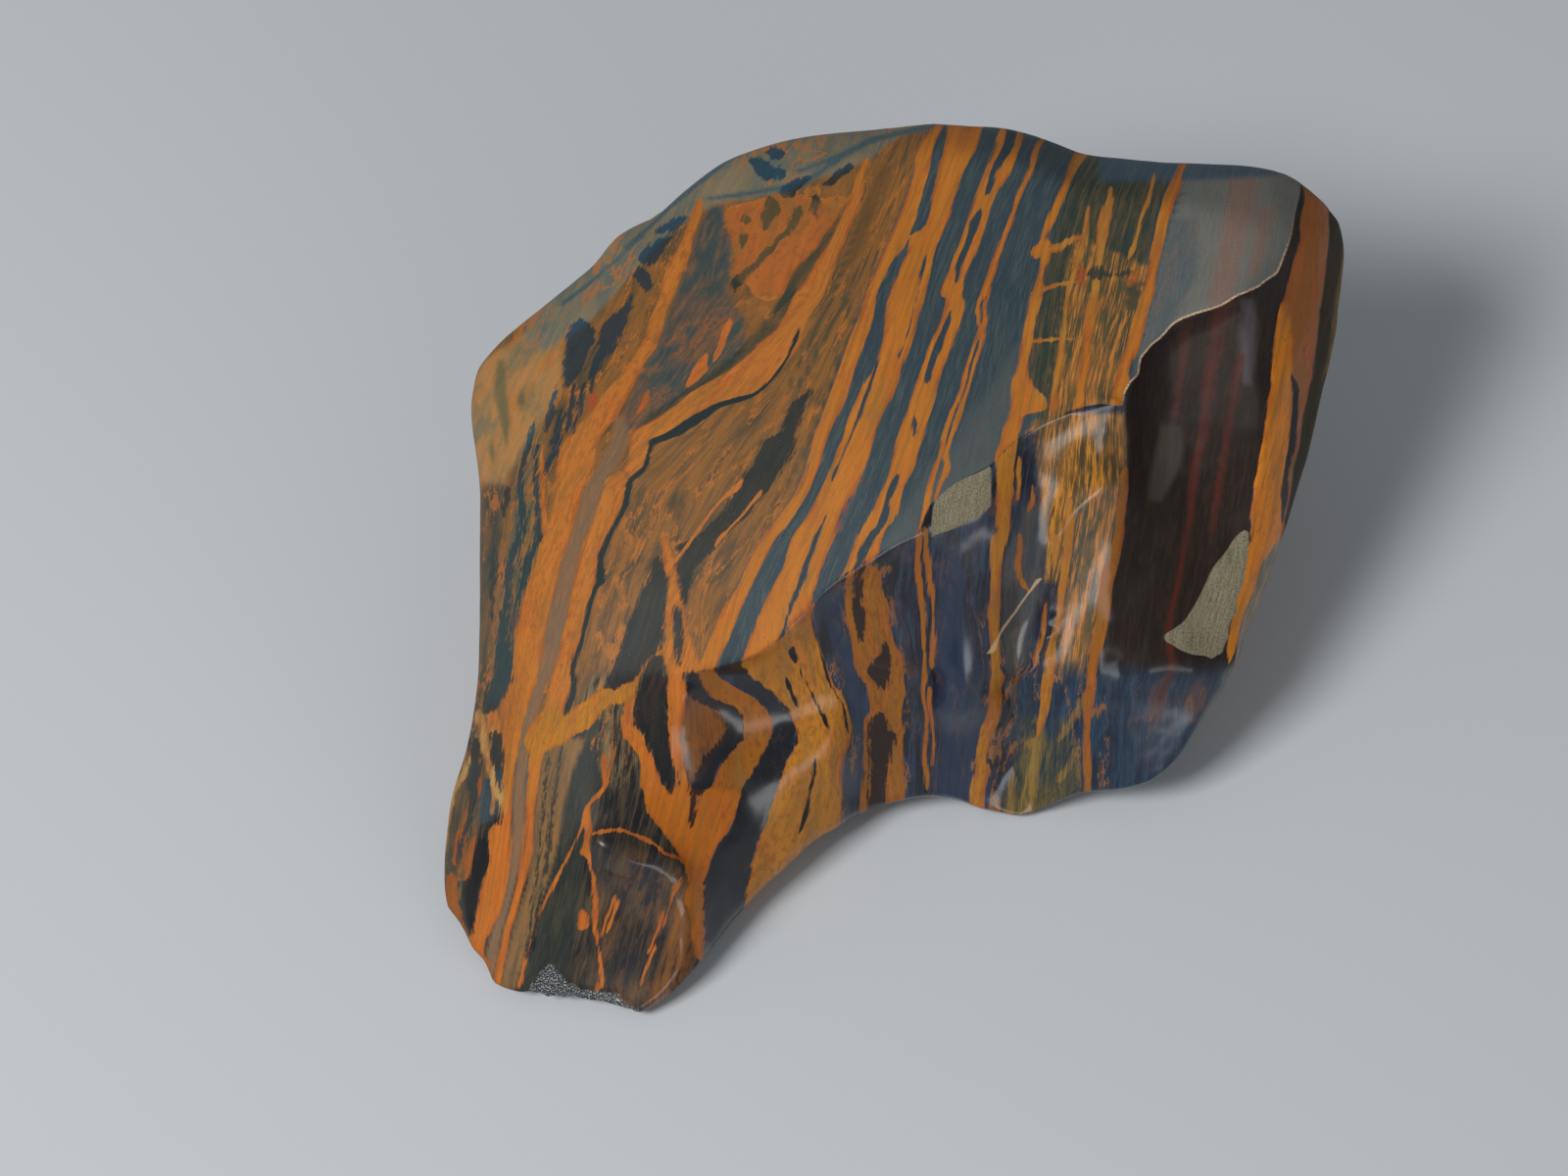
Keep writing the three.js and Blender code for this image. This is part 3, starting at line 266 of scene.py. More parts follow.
# Bands with firm edges, with rows as above, by family, side of the ridge and way.
RIBBONS = {}
RIBBONS["ochre", "any", "level"] = {
    "cross": ((-26, -16.8, -14.2), (-25.2, -16.9, -13), (-24.3, -16.7, -12.5), (-23.3, -16.1, -12.6),
     (-22.2, -15.7, -12.7), (-21.5, -15.1, -12.2), (-20.3, -14.5, -11.6), (-19.4, -13.9, -10.8),
     (-18.8, -12.9, -10.4), (-17.8, -12, -10.2), (-16.7, -11.8, -10), (-15.5, -11.2, -9.9),
     (-15.1, -10.6, -10.1)),
    "f_arc": ((-19.3, -25.2, -24.9), (-18, -25, -24.6), (-16.9, -24.9, -24.5), (-15.5, -25.3, -24.9),
     (-14.5, -25.8, -25.3), (-13.3, -26.4, -25.9), (-12.1, -27.5, -27), (-11, -27.8, -27.4),
     (-10.1, -28.4, -28.2)),
}
RIBBONS["ochre", "any", "up"] = {
    "w": ((11.6, -16, -15), (12, -16.4, -14.5), (12.8, -16, -14), (13.8, -15.7, -13.6),
     (14.8, -15.8, -13.2), (15.3, -15.7, -12), (16.2, -15, -10.6), (16.8, -13.8, -9.8), (17.4, -12.7, -9),
     (18.1, -11.7, -7.6), (18.9, -10.7, -6.3), (19.8, -9.6, -2.9), (21.2, -7.5, -1.3), (22.5, -5.15, -.25),
     (25, -2.3, 1.55), (27.5, .1, 2.45), (30, 1.1, 4), (31, 1.85, 4.4), (32.5, 2.8, 5), (35, 4.5, 6),
     (38.3, 6, 7.4), (40, 6.8, 8), (42.5, 7.6, 8.4), (43.5, 8, 8.8)),
    "o": ((-40, -30.6, -30.4), (-38.5, -31, -30), (-37, -32.4, -30.6), (-35, -31.95, -29.95),
     (-32.5, -31.2, -28.7), (-30, -30.8, -28.3), (-27.5, -30.1, -27.95), (-25, -30.3, -27.75),
     (-24, -29.5, -27.8), (-22.5, -29, -27.75), (-20, -28.9, -27.55), (-17.5, -28.7, -27.35),
     (-15, -28.7, -26.9), (-12.5, -28.9, -26.2), (-10, -28.3, -25.45), (-7.5, -27.65, -24.9),
     (-5, -27.55, -24.3), (-2.5, -27.1, -23.85), (0, -26.2, -23.3), (2.5, -25.4, -22.9),
     (5, -24.7, -21.95), (7.5, -23.7, -21.1), (10, -23.3, -20.3), (12.5, -23.2, -19.45),
     (15, -22.3, -18.9), (17.5, -20, -17.1), (20, -18.2, -15.65), (22.5, -16, -14.5), (25, -14.5, -12.85),
     (27.5, -13.6, -12.1), (30, -12.6, -11.15), (32.5, -12, -10.2), (35, -10.6, -9.5), (37.5, -9.7, -8.75),
     (38.5, -9.4, -8.4), (39.5, -9, -8.2)),
    "l": ((-43, -30.2, -29.6), (-40, -29.55, -28.8), (-37.5, -29.1, -28.3), (-35, -28.6, -27.85),
     (-32.5, -27.95, -27.1), (-30, -27.3, -26.4), (-27.5, -26.8, -25.9), (-25, -26.4, -25.65),
     (-22.5, -26.3, -25.45), (-20, -26.2, -25.1), (-17.5, -25.95, -24.7), (-16, -25.7, -24.3),
     (-14, -25.4, -22.5), (-12.5, -24.6, -22.4), (-10, -24.1, -21.75), (-7.5, -23.2, -21.65),
     (-5, -22.6, -20.7), (-2.5, -22.05, -20.2), (0, -21.55, -19.4), (2.5, -21, -19), (5, -20.3, -18.2),
     (7.5, -19.3, -16.8), (10, -18.4, -16), (11, -18.1, -15.9), (11.6, -17.4, -16)),
    "cross_vein": ((-22, -14.1, -11), (-21.2, -14.3, -11.6), (-20, -14.5, -12.4), (-18.7, -14.5, -12.9),
     (-17.5, -14.6, -13.3), (-16.2, -15.5, -14), (-15.2, -16.4, -14.3), (-14.5, -16.6, -14.8),
     (-13.7, -16.7, -15.6), (-12.5, -16.4, -15.75), (-11.2, -16.4, -15.5), (-10, -16.6, -15.4)),
    "vein": ((-1.6, -11.8, -11), (-1.2, -11.9, -10.4), (0, -11.8, -10.8), (1, -11.9, -10.95),
     (2.5, -12.2, -11), (3.8, -12.3, -11.6), (4.8, -12.6, -11.9), (5.7, -12.45, -12.25)),
    "vein_left": ((-9.5, -12, -10), (-8.5, -12, -10.7), (-7.5, -12.2, -11.1), (-6.2, -12.3, -11.2),
     (-5, -12.05, -11.4), (-2.5, -12.05, -11.3), (-1.5, -11.95, -11.2), (-.8, -11.7, -11)),
    "vein_right": ((-8.6, -11, -8.7), (-7.6, -10.7, -8.6), (-6.5, -10.5, -9), (-5, -10.2, -9.6),
     (-4, -10.3, -9.95), (-2.5, -10.7, -10.1), (-1.5, -11, -10.3), (-.6, -11.2, -10.6)),
    "v": ((-38, -8.8, -8.3), (-36, -9.3, -8.2), (-34, -9.7, -8.1), (-32.5, -10, -8.1), (-31.2, -10.2, -8),
     (-30, -10.1, -7.9), (-28.7, -10.3, -7.8), (-27.5, -10.8, -7.5), (-26.2, -11.5, -6.75),
     (-25, -12.3, -5.8), (-23.7, -13.2, -5.1), (-22.5, -14, -4.75), (-21.5, -14, -4.5), (-20.8, -13, -4.3),
     (-20.4, -11.6, -10.8)),
    "strip": ((-21.2, -11.2, -9.4), (-20, -11, -9.7), (-18.7, -11.1, -10.1), (-17.5, -11.4, -10.3),
     (-16.2, -11.6, -10.4), (-15, -11.8, -10.55), (-13.7, -11.85, -10.3), (-12.5, -11.9, -10),
     (-11.2, -11.9, -9.9), (-10, -12, -9.8), (-8.6, -11.9, -9.4)),
    "j": ((4.4, 47.6, 49.8), (5.5, 47.55, 50.6), (7.5, 47.7, 51.2), (10, 48, 51.7), (12.5, 48.4, 52),
     (15, 48.8, 52.6), (17.5, 49.15, 52.9), (20, 49.47, 53.5), (22.5, 49.7, 54), (25, 50, 54.3),
     (27.5, 50.4, 54.5), (30, 51.15, 54.8), (32.5, 51.8, 55.15), (35, 52.5, 55.5), (37.5, 52.65, 55.5),
     (40, 53.05, 55.4), (41.3, 52.9, 55.2), (42.4, 52.7, 54.5), (45, 51.5, 53)),
    "j_gold": ((-7.4, 44.9, 45.1), (-6.5, 44.9, 45.6), (-5, 45.15, 46.2), (-3.7, 45.45, 46.6),
     (-2.5, 45.9, 47.05), (-1.2, 46.2, 47.55), (0, 46.5, 48.1), (2.5, 47.05, 48.8), (4, 47.3, 49.7),
     (5, 47.55, 50.3), (7.5, 47.7, 50.5), (10, 48, 50.8), (12.5, 48.4, 51), (15, 48.8, 51.1),
     (17.5, 49.15, 51.2), (20, 49.47, 51.35), (22.5, 49.7, 51.3), (25, 50.1, 51.35), (27.5, 50.4, 51.1),
     (28.2, 50.6, 50.9)),
    "red_patch_top": ((29.8, -3, -.2), (30.7, -3.4, .2), (31.6, -4.8, .6), (32.5, -5.1, 1.2),
     (33.8, -5.2, 2.4), (35, -5.3, 3.6), (36, -5.5, 4.2), (37.5, -6.1, 5.2), (38.7, -5.9, 5.8),
     (39.2, -4.4, 6.2), (39.7, -2.6, 4.6), (40.1, -1.4, .6)),
    "lens_line": ((23.2, -7.3, -7), (24.2, -7, -6.4), (25.5, -6.4, -5.8), (27.2, -5.8, -5.4)),
    "lens_line2": ((20.6, -9.9, -9.5), (21.6, -9.6, -8.4), (22.5, -9.2, -7.8), (23.7, -8.2, -7.8)),
    "lens_line3": ((17.9, -15, -14.6), (19, -14.6, -13.8), (20, -14, -13.6)),
    "contact": ((5.3, -24.3, -23.9), (6, -24.6, -23.2), (6.8, -24.7, -24), (8, -24.8, -24.4),
     (10, -24.8, -24.5), (12, -24.9, -24.6), (14.5, -24.8, -24.6)),
    "block": ((-14.9, -30.1, -28.9), (-14, -30.3, -28.9), (-13, -30.3, -29.1), (-12.2, -30.1, -29.7)),
    "f_vein": ((-40.8, -18.9, -18.6), (-39, -18.8, -18.4), (-37.2, -19.1, -18.8), (-36, -19.2, -18.9),
     (-34.5, -19.55, -19.1), (-32.5, -19.55, -19), (-30, -19.65, -19.2), (-27.6, -19.95, -19.5),
     (-27, -20.8, -19.5), (-26.2, -20.4, -19.7), (-25, -20.2, -19.6), (-24, -20.6, -19.55),
     (-22.5, -20.3, -19.75), (-21.2, -19.4, -18.8), (-20, -18.5, -18.1), (-18, -18.55, -18.2),
     (-17.1, -18.5, -18.25)),
    "f_line": ((-40.8, -27.2, -26.95), (-38.9, -26.7, -26.45), (-35.6, -25.9, -25.6),
     (-32.6, -24.85, -24.6), (-30.5, -23.8, -23.5), (-28, -22.5, -22.2), (-26.2, -21.6, -21.3),
     (-25, -21, -20.7), (-23.2, -20.2, -20)),
    "f_blob": ((-34.6, -21, -20.1), (-33.8, -21, -20), (-33, -20.8, -20.3)),
    "f_dash": ((-35.8, -18.9, -18.7), (-34.5, -18.5, -18.2), (-33, -18, -17.7), (-31.4, -17.4, -17.2)),
    "f_dash4": ((-35, -18.1, -17.9), (-33.5, -17.5, -17.3), (-31.8, -16.95, -16.8)),
    "f_dash2": ((-41.2, -19.1, -18.9), (-40, -18.9, -18.6), (-38.5, -18.8, -18.5), (-37.3, -19.1, -18.9)),
    "f_dash3": ((-37.2, -13.9, -13.75), (-36, -13.45, -13.2), (-34.5, -12.9, -12.6),
     (-32.8, -12.4, -12.2)),
    "f_dash5": ((-34.5, -12.35, -12.25), (-33, -11.95, -11.8), (-31.5, -11.5, -11.3),
     (-29.6, -10.9, -10.75)),
    "f_dash6": ((-40.6, -14.7, -14.6), (-39.5, -14.4, -14.2), (-38, -13.8, -13.6), (-36.5, -13.2, -13.1)),
    "thin_vein": ((-10.2, -15.4, -15.1), (-9, -15.05, -14.7), (-8.1, -14.5, -14.1), (-6.9, -13.3, -12.9),
     (-5.8, -12.3, -11.9)),
    "thin_vein2": ((-11.3, -14.4, -14.25), (-10.3, -13.9, -13.6), (-8.6, -13.2, -13),
     (-7.1, -12.55, -12.4)),
    "thin_vein3": ((-10.4, -16.2, -16.1), (-8.4, -15.4, -15.3), (-6.8, -14.5, -14.38),
     (-5.5, -13.6, -13.45), (-4, -12.4, -12.25)),
    "thin_vein4": ((-14, -14, -13.9), (-12.2, -13.6, -13.48), (-10.4, -12.9, -12.75), (-9, -12, -11.9)),
    "thin_vein5": ((-20.6, -18.4, -18.3), (-18.5, -17.8, -17.6), (-16.2, -17.2, -17.05)),
    "edge_ridge": ((-23, -30, -29.6), (-21.5, -29.7, -28.9), (-20, -30, -29.2), (-18.7, -30.3, -29.6),
     (-17.5, -30.5, -29.85), (-16.2, -31, -30), (-15, -31.2, -30.1), (-13.7, -31.3, -30.5),
     (-12.4, -31.1, -30.9)),
    "left_low": ((-27, -35, -34.6), (-25, -34.9, -34.3), (-22.5, -34.5, -33.9), (-20, -33.7, -33),
     (-19, -33, -32.1), (-17.5, -32.4, -31.6)),
    "left_low2": ((-28, -33.9, -33.1), (-27, -33.8, -32.8), (-25, -33.4, -32.4), (-22.5, -32.4, -31.8),
     (-20, -31.6, -30.9), (-18, -31.2, -30.9)),
    "left_low3": ((-34.8, -32.6, -32.2), (-34.2, -33.6, -32.5), (-33.2, -34.4, -32.7), (-32, -34.8, -33),
     (-30.5, -34.7, -33.4), (-29.3, -34.3, -33.7)),
    "left_low4": ((-30.3, -32.5, -32.3), (-29.9, -32.7, -32.2), (-28.5, -32.6, -31.9),
     (-26.8, -32.3, -31.6), (-25.5, -31.8, -31.4)),
}
RIBBONS["ochre", "broad", "level"] = {
    "g_rung": ((25.6, 33.6, 35), (27, 34.1, 35.1), (28, 34.3, 35.2), (29, 35, 35.7), (30, 35.5, 36),
     (30.5, 35.8, 36)),
    "g_rung2": ((25.6, 29.7, 30.6), (27, 30.4, 30.95), (28, 30.8, 31.2), (29.2, 30.9, 31.3),
     (29.8, 31.2, 31.3)),
    "g_rung3": ((25.2, 25, 25.3), (27, 25.15, 25.5), (28.5, 25.3, 25.6), (29.5, 25.3, 25.5)),
}
RIBBONS["ochre", "broad", "up"] = {
    "a": ((-9.2, -9.2, -7.1), (-7.5, -8.55, -6.75), (-5, -7.5, -5.6), (-2.5, -6.4, -4.65),
     (0, -4.75, -3.4), (2.5, -3.6, -2.2), (5, -2.3, -.85), (7.5, -.4, 1.1), (10, 1.45, 2.6),
     (12.5, 2.4, 3.6), (15, 2.95, 4.3), (17.5, 3.9, 5.55), (20, 4.8, 6.4), (22.5, 5.75, 7.3),
     (25, 6.5, 8.2), (27.5, 7.6, 9.15), (30, 8.4, 9.5), (32.5, 9.5, 10.6), (35, 10.5, 12.3),
     (37.5, 11.6, 13.25), (40, 12.5, 14), (42.5, 13.2, 14.7), (45, 13.8, 15.3), (48, 15.8, 16.6),
     (49, 16.2, 17)),
    "b": ((-8.2, -4.8, -3.8), (-7.2, -4.3, -2.5), (-5, -3.5, .6), (-2.5, -2.4, 2.3), (0, -1.3, 3.15),
     (2.5, 0, 3.9), (5, .7, 5), (7.5, 2.5, 5.7), (10, 3.7, 7.15), (12.5, 4.85, 8.3), (15, 5.8, 9.15),
     (17.5, 6.7, 10), (20, 7.8, 11.3), (22.5, 9.15, 12), (25, 9.9, 13.05), (27.5, 10.3, 13.6),
     (30, 10.7, 14.5), (32.5, 11.8, 15.05), (35, 12.75, 15.6), (35.7, 12.7, 16), (36.5, 13.8, 16.4),
     (37.5, 14.65, 16.8), (40, 15.05, 17.5), (42.5, 15.6, 18.4), (45, 16.35, 19.7), (48, 17, 20.6),
     (49, 17.4, 21)),
    "d": ((.5, 5.6, 9.3), (2.5, 6.4, 9.7), (5, 7.35, 10), (7.5, 8.8, 11.45), (10, 10, 12.2),
     (11.3, 10.6, 12.9), (12.5, 10.95, 13.5), (13.5, 11.15, 13.6), (15, 11.45, 14.1), (17.5, 12.35, 14.8),
     (20, 13.15, 15.5), (22.5, 14.1, 16.3), (25, 14.95, 17.25), (27.5, 16.1, 18.1), (29.2, 16.5, 18.4),
     (30, 16.05, 18.2), (31.2, 16.4, 18.2), (32.5, 16.95, 18.75), (35, 17.7, 20), (37.5, 18.65, 20.7),
     (40, 19.45, 21.5), (42.5, 20.5, 23.05), (45, 21.6, 24.1), (46.5, 22, 24.5), (48, 22.6, 25),
     (49, 23, 25.5)),
    "e": ((29.6, 20.2, 20.6), (30, 20, 21.05), (31, 20.3, 21.2), (32.5, 20.85, 21.7), (35, 21.9, 22.5),
     (37.5, 22.95, 23.45), (40, 23.65, 24.2), (42.5, 24.8, 25.35), (45, 25.55, 26.2), (46.5, 26.4, 27),
     (47.5, 26.8, 27.4)),
    "e_left": ((4, 13.2, 13.8), (5, 13.35, 13.9), (7.5, 14.1, 14.7), (10, 14.6, 15.15),
     (12.5, 15.35, 15.8), (13.5, 15.7, 16.2), (15, 16.1, 16.6), (17.5, 16.73, 17.26), (20, 17.9, 18.2),
     (22.5, 18.5, 18.85), (25, 19.47, 19.75), (26.5, 19.75, 20.1), (27.5, 19.68, 20), (28.8, 19.57, 20),
     (30, 20, 20.5), (30.4, 20.2, 20.4)),
    "e_right": ((4, 14.1, 14.8), (5, 14.2, 14.85), (7.5, 14.9, 15.3), (10, 15.55, 16), (12.5, 16.3, 16.95),
     (13.5, 16.2, 16.7), (15, 16.7, 17.15), (17.5, 17.45, 18.2), (20, 18.4, 18.75), (22.5, 19.15, 19.57),
     (25, 20, 20.3), (26.5, 20.1, 20.5), (27.5, 20.2, 20.73), (28.8, 20.3, 20.7), (30, 20.6, 21.05),
     (30.4, 20.6, 20.9)),
    "g": ((13, 21.6, 23.6), (15, 22.15, 23.7), (16.3, 22.4, 24.1), (17.6, 22.95, 24.6),
     (18.2, 23.05, 26.8), (18.8, 23.1, 27), (20, 23.25, 26.1), (20.8, 23.3, 25.4), (22.5, 23.8, 24.9),
     (25, 24.3, 25.4), (27.5, 24.75, 25.8), (30, 25.25, 26.4), (32.5, 26, 26.7), (33.8, 26.1, 27.2),
     (35, 25.9, 27.3), (35.7, 26.3, 26.8), (37.5, 26.7, 27.7), (40, 27.9, 28.8), (42.5, 28.8, 29.75),
     (44.5, 29.8, 31.25), (45.2, 30.1, 31.6), (46, 30.6, 32)),
    "h": ((18.2, 29.6, 30.4), (20, 29.9, 30.7), (22.5, 30.3, 31.1), (25, 30.5, 31.25), (27.5, 30.7, 31.75),
     (30, 31.35, 32.2), (32, 31.5, 32.3), (33.2, 31.7, 32.5), (35, 31.9, 32.8), (37.5, 32.1, 33.3),
     (40, 33, 33.6), (40.8, 33.2, 33.5)),
    "h_left": ((18.2, 27.1, 27.8), (20, 27.3, 28), (22.5, 27.7, 28.5), (25, 28.1, 28.75),
     (27.5, 28.5, 28.95), (30, 28.8, 29.2), (32.5, 29.6, 30.1), (35, 30.1, 30.7), (37.5, 30.7, 31.2),
     (38.7, 30.9, 31.2)),
    "i": ((17, 32.6, 34.8), (18, 32.8, 34.8), (20, 33.5, 35.1), (22.5, 34.15, 35.3), (25, 35, 36.45),
     (27.5, 35.7, 37.1), (30, 36.5, 37.7), (32.5, 37.25, 38.1), (35, 37.6, 38.7), (37.5, 38.1, 39.2),
     (40, 38.8, 40.1), (41.3, 39.35, 40.6), (42.5, 40, 40.8), (43.2, 40.3, 41.2), (44, 40.6, 41.6)),
}
RIBBONS["ochre", "front", "up"] = {
    "s": ((-21.5, -8.8, -4.5), (-20.8, -8.2, -4.3), (-20, -7.3, -3.95), (-18.7, -6.7, -3.2),
     (-17.5, -6, -2.4), (-16.2, -5, -1.8), (-15, -4.3, -1.3), (-13.7, -4.2, -1.2), (-12.5, -5, -1.7),
     (-11.2, -7.3, -3.1), (-10, -8.4, -5.2), (-9.2, -8.7, -6.3), (-8.3, -8.8, -7.1), (-7.6, -8.7, -7)),
    "s_wide": ((-32.5, -4.2, 0), (-30.1, -3.6, 2), (-28, -3.15, 4), (-25.9, -2.65, 5.2),
     (-24.6, -2.2, 5.6), (-22.1, -1.4, 5.9), (-20, -.6, 5.9), (-17.9, .2, 6.1), (-16.4, 1.05, 6.5),
     (-14.9, 1.35, 6.8), (-14, 1.1, 6.85), (-13, .4, 6.7), (-12, -.1, 6.4), (-10.9, -.95, 5.9),
     (-10, -2.2, 5.2), (-9, -3.3, 4.7), (-8, -4.3, 4.35), (-7.2, -4.3, 4.1), (-6, -2.2, 3.6),
     (-5, -.8, 3.2), (-4, 0, 2.85), (-2.4, 1.8, 2.7), (-1.4, 2.6, 3)),
    "d_front": ((-25, 7.5, 12.2), (-22, 7.75, 12.3), (-20, 7.9, 12.3), (-17.5, 8.1, 12.1),
     (-15, 8.1, 12.2), (-13.7, 8, 12.1), (-12.5, 8.7, 11.9), (-11.2, 8.5, 12), (-10, 8.4, 12.15),
     (-9, 7.7, 12), (-7.5, 7.05, 11.8), (-6, 6.9, 11.35), (-5, 6.7, 11), (-4, 6.5, 10.7),
     (-2.5, 6.25, 10.6), (-1.2, 6.25, 10.4), (0, 6.25, 10), (2, 6.2, 9.6)),
    "e_front": ((-20.5, 14.4, 14.6), (-19, 14.3, 14.8), (-17.5, 14.1, 14.6), (-15, 14.3, 14.7),
     (-12.5, 14.3, 14.9), (-10, 14, 14.5), (-9, 14.05, 14.7), (-8, 14.2, 14.75), (-6.8, 14.3, 14.75),
     (-5, 14.1, 14.6), (-2.5, 13.8, 14.4), (0, 13.55, 14.2), (1, 13.4, 14.1), (2.5, 13.25, 13.95),
     (4, 13.35, 13.95), (6, 13.4, 14)),
    "e_front2": ((-7.6, 15.3, 15.5), (-6.8, 15.15, 15.7), (-5.5, 15.05, 15.7), (-4, 15, 15.5),
     (-2.5, 15.05, 15.35), (0, 14.75, 15.3), (1, 14.6, 15.2), (2.5, 14.35, 14.95), (4, 14.2, 14.75),
     (6, 14.2, 14.7)),
    "e_front3": ((-18, 15.1, 15.2), (-15, 15.05, 15.35), (-12.5, 15.05, 15.35), (-10.5, 14.85, 15.3),
     (-9.8, 14.9, 15.2)),
    "g_front": ((-24, 19.2, 20.8), (-21.2, 18.95, 20.4), (-20, 19.05, 20.6), (-18.5, 19.47, 21),
     (-17.5, 19.47, 20.7), (-16.2, 19.57, 20.85), (-15, 19.8, 21.05), (-13.7, 19.9, 21.35),
     (-12.5, 20.2, 21.45), (-11.2, 20.3, 21.7), (-10, 20.4, 21.85), (-8.5, 20.5, 21.9), (-7.5, 20.5, 21.4),
     (-5, 20.6, 21.6), (-2.5, 20.7, 22), (0, 21.05, 22.1), (2.5, 21.15, 22.25), (5, 21.25, 22.8),
     (6, 21.65, 23.05), (7.5, 21.6, 23.15), (10, 21.68, 23.45), (12.5, 21.7, 23.45), (14, 21.75, 23.6),
     (16, 22.6, 24)),
    "g_thin": ((9, 23.85, 23.95), (9.5, 23.8, 24.05), (11.5, 23.75, 24.1), (13, 23.8, 24.1),
     (13.4, 23.9, 24)),
    "g_thin2": ((7.9, 24.9, 25.1), (9, 25, 25.5), (10, 25.1, 25.45), (10.4, 25.2, 25.4)),
    "g_thin3": ((-.3, 24.8, 25.1), (.2, 24.2, 24.9), (1, 23.8, 24.4), (2.5, 23.55, 24.2),
     (4.5, 23.8, 24.25), (5.4, 23.9, 24.2)),
    "h_front": ((-14.8, 25.8, 26.2), (-13.7, 25.9, 26.6), (-12.5, 26.1, 27.05), (-11.2, 26.2, 27.25),
     (-10, 26.3, 27.35), (-7.5, 26.7, 27.8), (-5, 27.2, 27.9), (-4, 27.4, 28.2), (-2.5, 27.78, 28.5),
     (-1.2, 27.9, 28.6), (0, 28, 28.8), (2.5, 28.3, 29.2), (5, 28.5, 29.47), (7.5, 28.7, 29.6),
     (8.5, 28.9, 29.6), (9, 29, 29.5)),
    "h_thin": ((-7.2, 25.7, 25.9), (-6.5, 25.8, 26.2), (-5, 26.1, 26.7), (-3.5, 26.3, 26.8),
     (-2, 26.5, 26.9), (-1.6, 26.6, 26.9)),
    "h_thin2": ((1.8, 27.5, 27.7), (2.2, 27.4, 27.9), (4, 27.3, 28.1), (5, 27.2, 28), (5.5, 27.3, 27.8)),
    "i_front": ((-23, 30.4, 31.1), (-20, 30.6, 31.25), (-17.5, 30.5, 31.35), (-15, 30.6, 31.25),
     (-12.5, 30.55, 31.45), (-11.2, 30.45, 31.65), (-10, 30.8, 31.85), (-7.5, 31.05, 32),
     (-5, 31.6, 32.65), (-2.5, 31.9, 33.15), (0, 32.25, 33.47), (2.5, 32.7, 34.1), (5, 33.4, 34.4),
     (7.5, 33.8, 34.8), (10, 34.1, 35.15), (11.3, 34.2, 35.1), (12.2, 34.6, 35)),
}
RIBBONS["dark", "any", "up"] = {
    "w_line": ((-12.9, -22.4, -22.2), (-12, -22.3, -21.7), (-10, -21.75, -21.2), (-8.8, -21.85, -21.3),
     (-7.5, -21.7, -21.1), (-5, -20.75, -20.3), (-2.5, -20.15, -19.7), (0, -19.5, -18.9),
     (.8, -19.1, -18.2), (2.5, -19.1, -18.4), (4.5, -18.5, -17.8), (6.7, -17.4, -16.8),
     (8.8, -16.3, -15.7), (10, -16.2, -15.6), (10.9, -16, -15.4), (11.7, -15.3, -14.4),
     (12.5, -14.4, -13.9), (14.4, -13.9, -13.3), (15.1, -13.6, -12), (15.6, -12.6, -10.5),
     (16.2, -11.4, -9.6), (16.9, -10.3, -8.6), (17.5, -9.4, -7.6), (18.4, -7.8, -6.4), (18.9, -6.7, -4.8),
     (19.5, -4.8, -3.2), (19.9, -3.2, -2.5), (20.8, -2, -1.55), (22.5, -.4, -.05), (24, .4, .7),
     (26.5, 1.4, 1.6)),
    "j_line": ((6.6, 50.75, 50.85), (8, 50.6, 51.2), (9.5, 50.6, 51.3), (11, 50.8, 51.3), (13, 51.1, 51.7),
     (15, 51.45, 52.2), (17.5, 51.7, 52.3), (20, 51.9, 52.4), (21.7, 51.7, 51.85)),
}
RIBBONS["dark", "broad", "up"] = {
    "d_isle": ((40.2, 20.6, 20.8), (41, 20.7, 21.2), (42.5, 21.05, 21.78), (45, 22.2, 23.35),
     (47.2, 22.8, 24), (48, 23, 24.4)),
    "d_isle2": ((31.2, 17.5, 17.7), (32.5, 17.45, 18.1), (35, 18.4, 19.05), (36, 18.7, 19.45),
     (37.5, 19.05, 20.1), (38.5, 19.8, 20.2)),
    "d_isle3": ((21, 14.4, 14.7), (22.5, 14.65, 15.25), (25, 15.45, 16.3), (26.3, 16, 16.7),
     (27.5, 16.5, 17.05), (28.2, 16.8, 17.05)),
    "d_isle4": ((15.5, 13.1, 13.3), (16.5, 13.1, 13.6), (17.4, 13.25, 13.45)),
    "d_isle5": ((1, 6.6, 7.4), (2.5, 7.3, 8), (3.8, 7.7, 8.7), (5, 8.3, 9.25), (6.3, 9.3, 10.2),
     (7.5, 9.9, 10.7), (9, 10.3, 10.8), (10, 10.6, 11.35), (11.4, 11.4, 11.7)),
    "b_lens": ((-5.4, -.43, -.1), (-4, 0, .2), (-2.5, .4, .7), (-1.2, .7, 1.25), (0, 1.2, 1.68),
     (1.3, 1.57, 2.3), (2.5, 2.05, 2.5), (3.8, 2.6, 3.05), (5, 3, 3.4), (6.7, 3.9, 4.1), (7.4, 4.2, 4.3)),
    "b_thin": ((23.5, 11.7, 11.8), (25, 12.25, 12.4), (27.5, 12.9, 13.1), (30, 13.55, 13.75),
     (32.5, 14.1, 14.3), (33.8, 14.4, 14.6)),
    "b_thin2": ((11, 4.9, 5), (13.2, 5.8, 5.95), (15.8, 6.8, 7.05), (17.5, 7.5, 7.8), (20, 8.4, 8.65),
     (22.8, 9.45, 9.65), (23.8, 9.9, 10)),
}
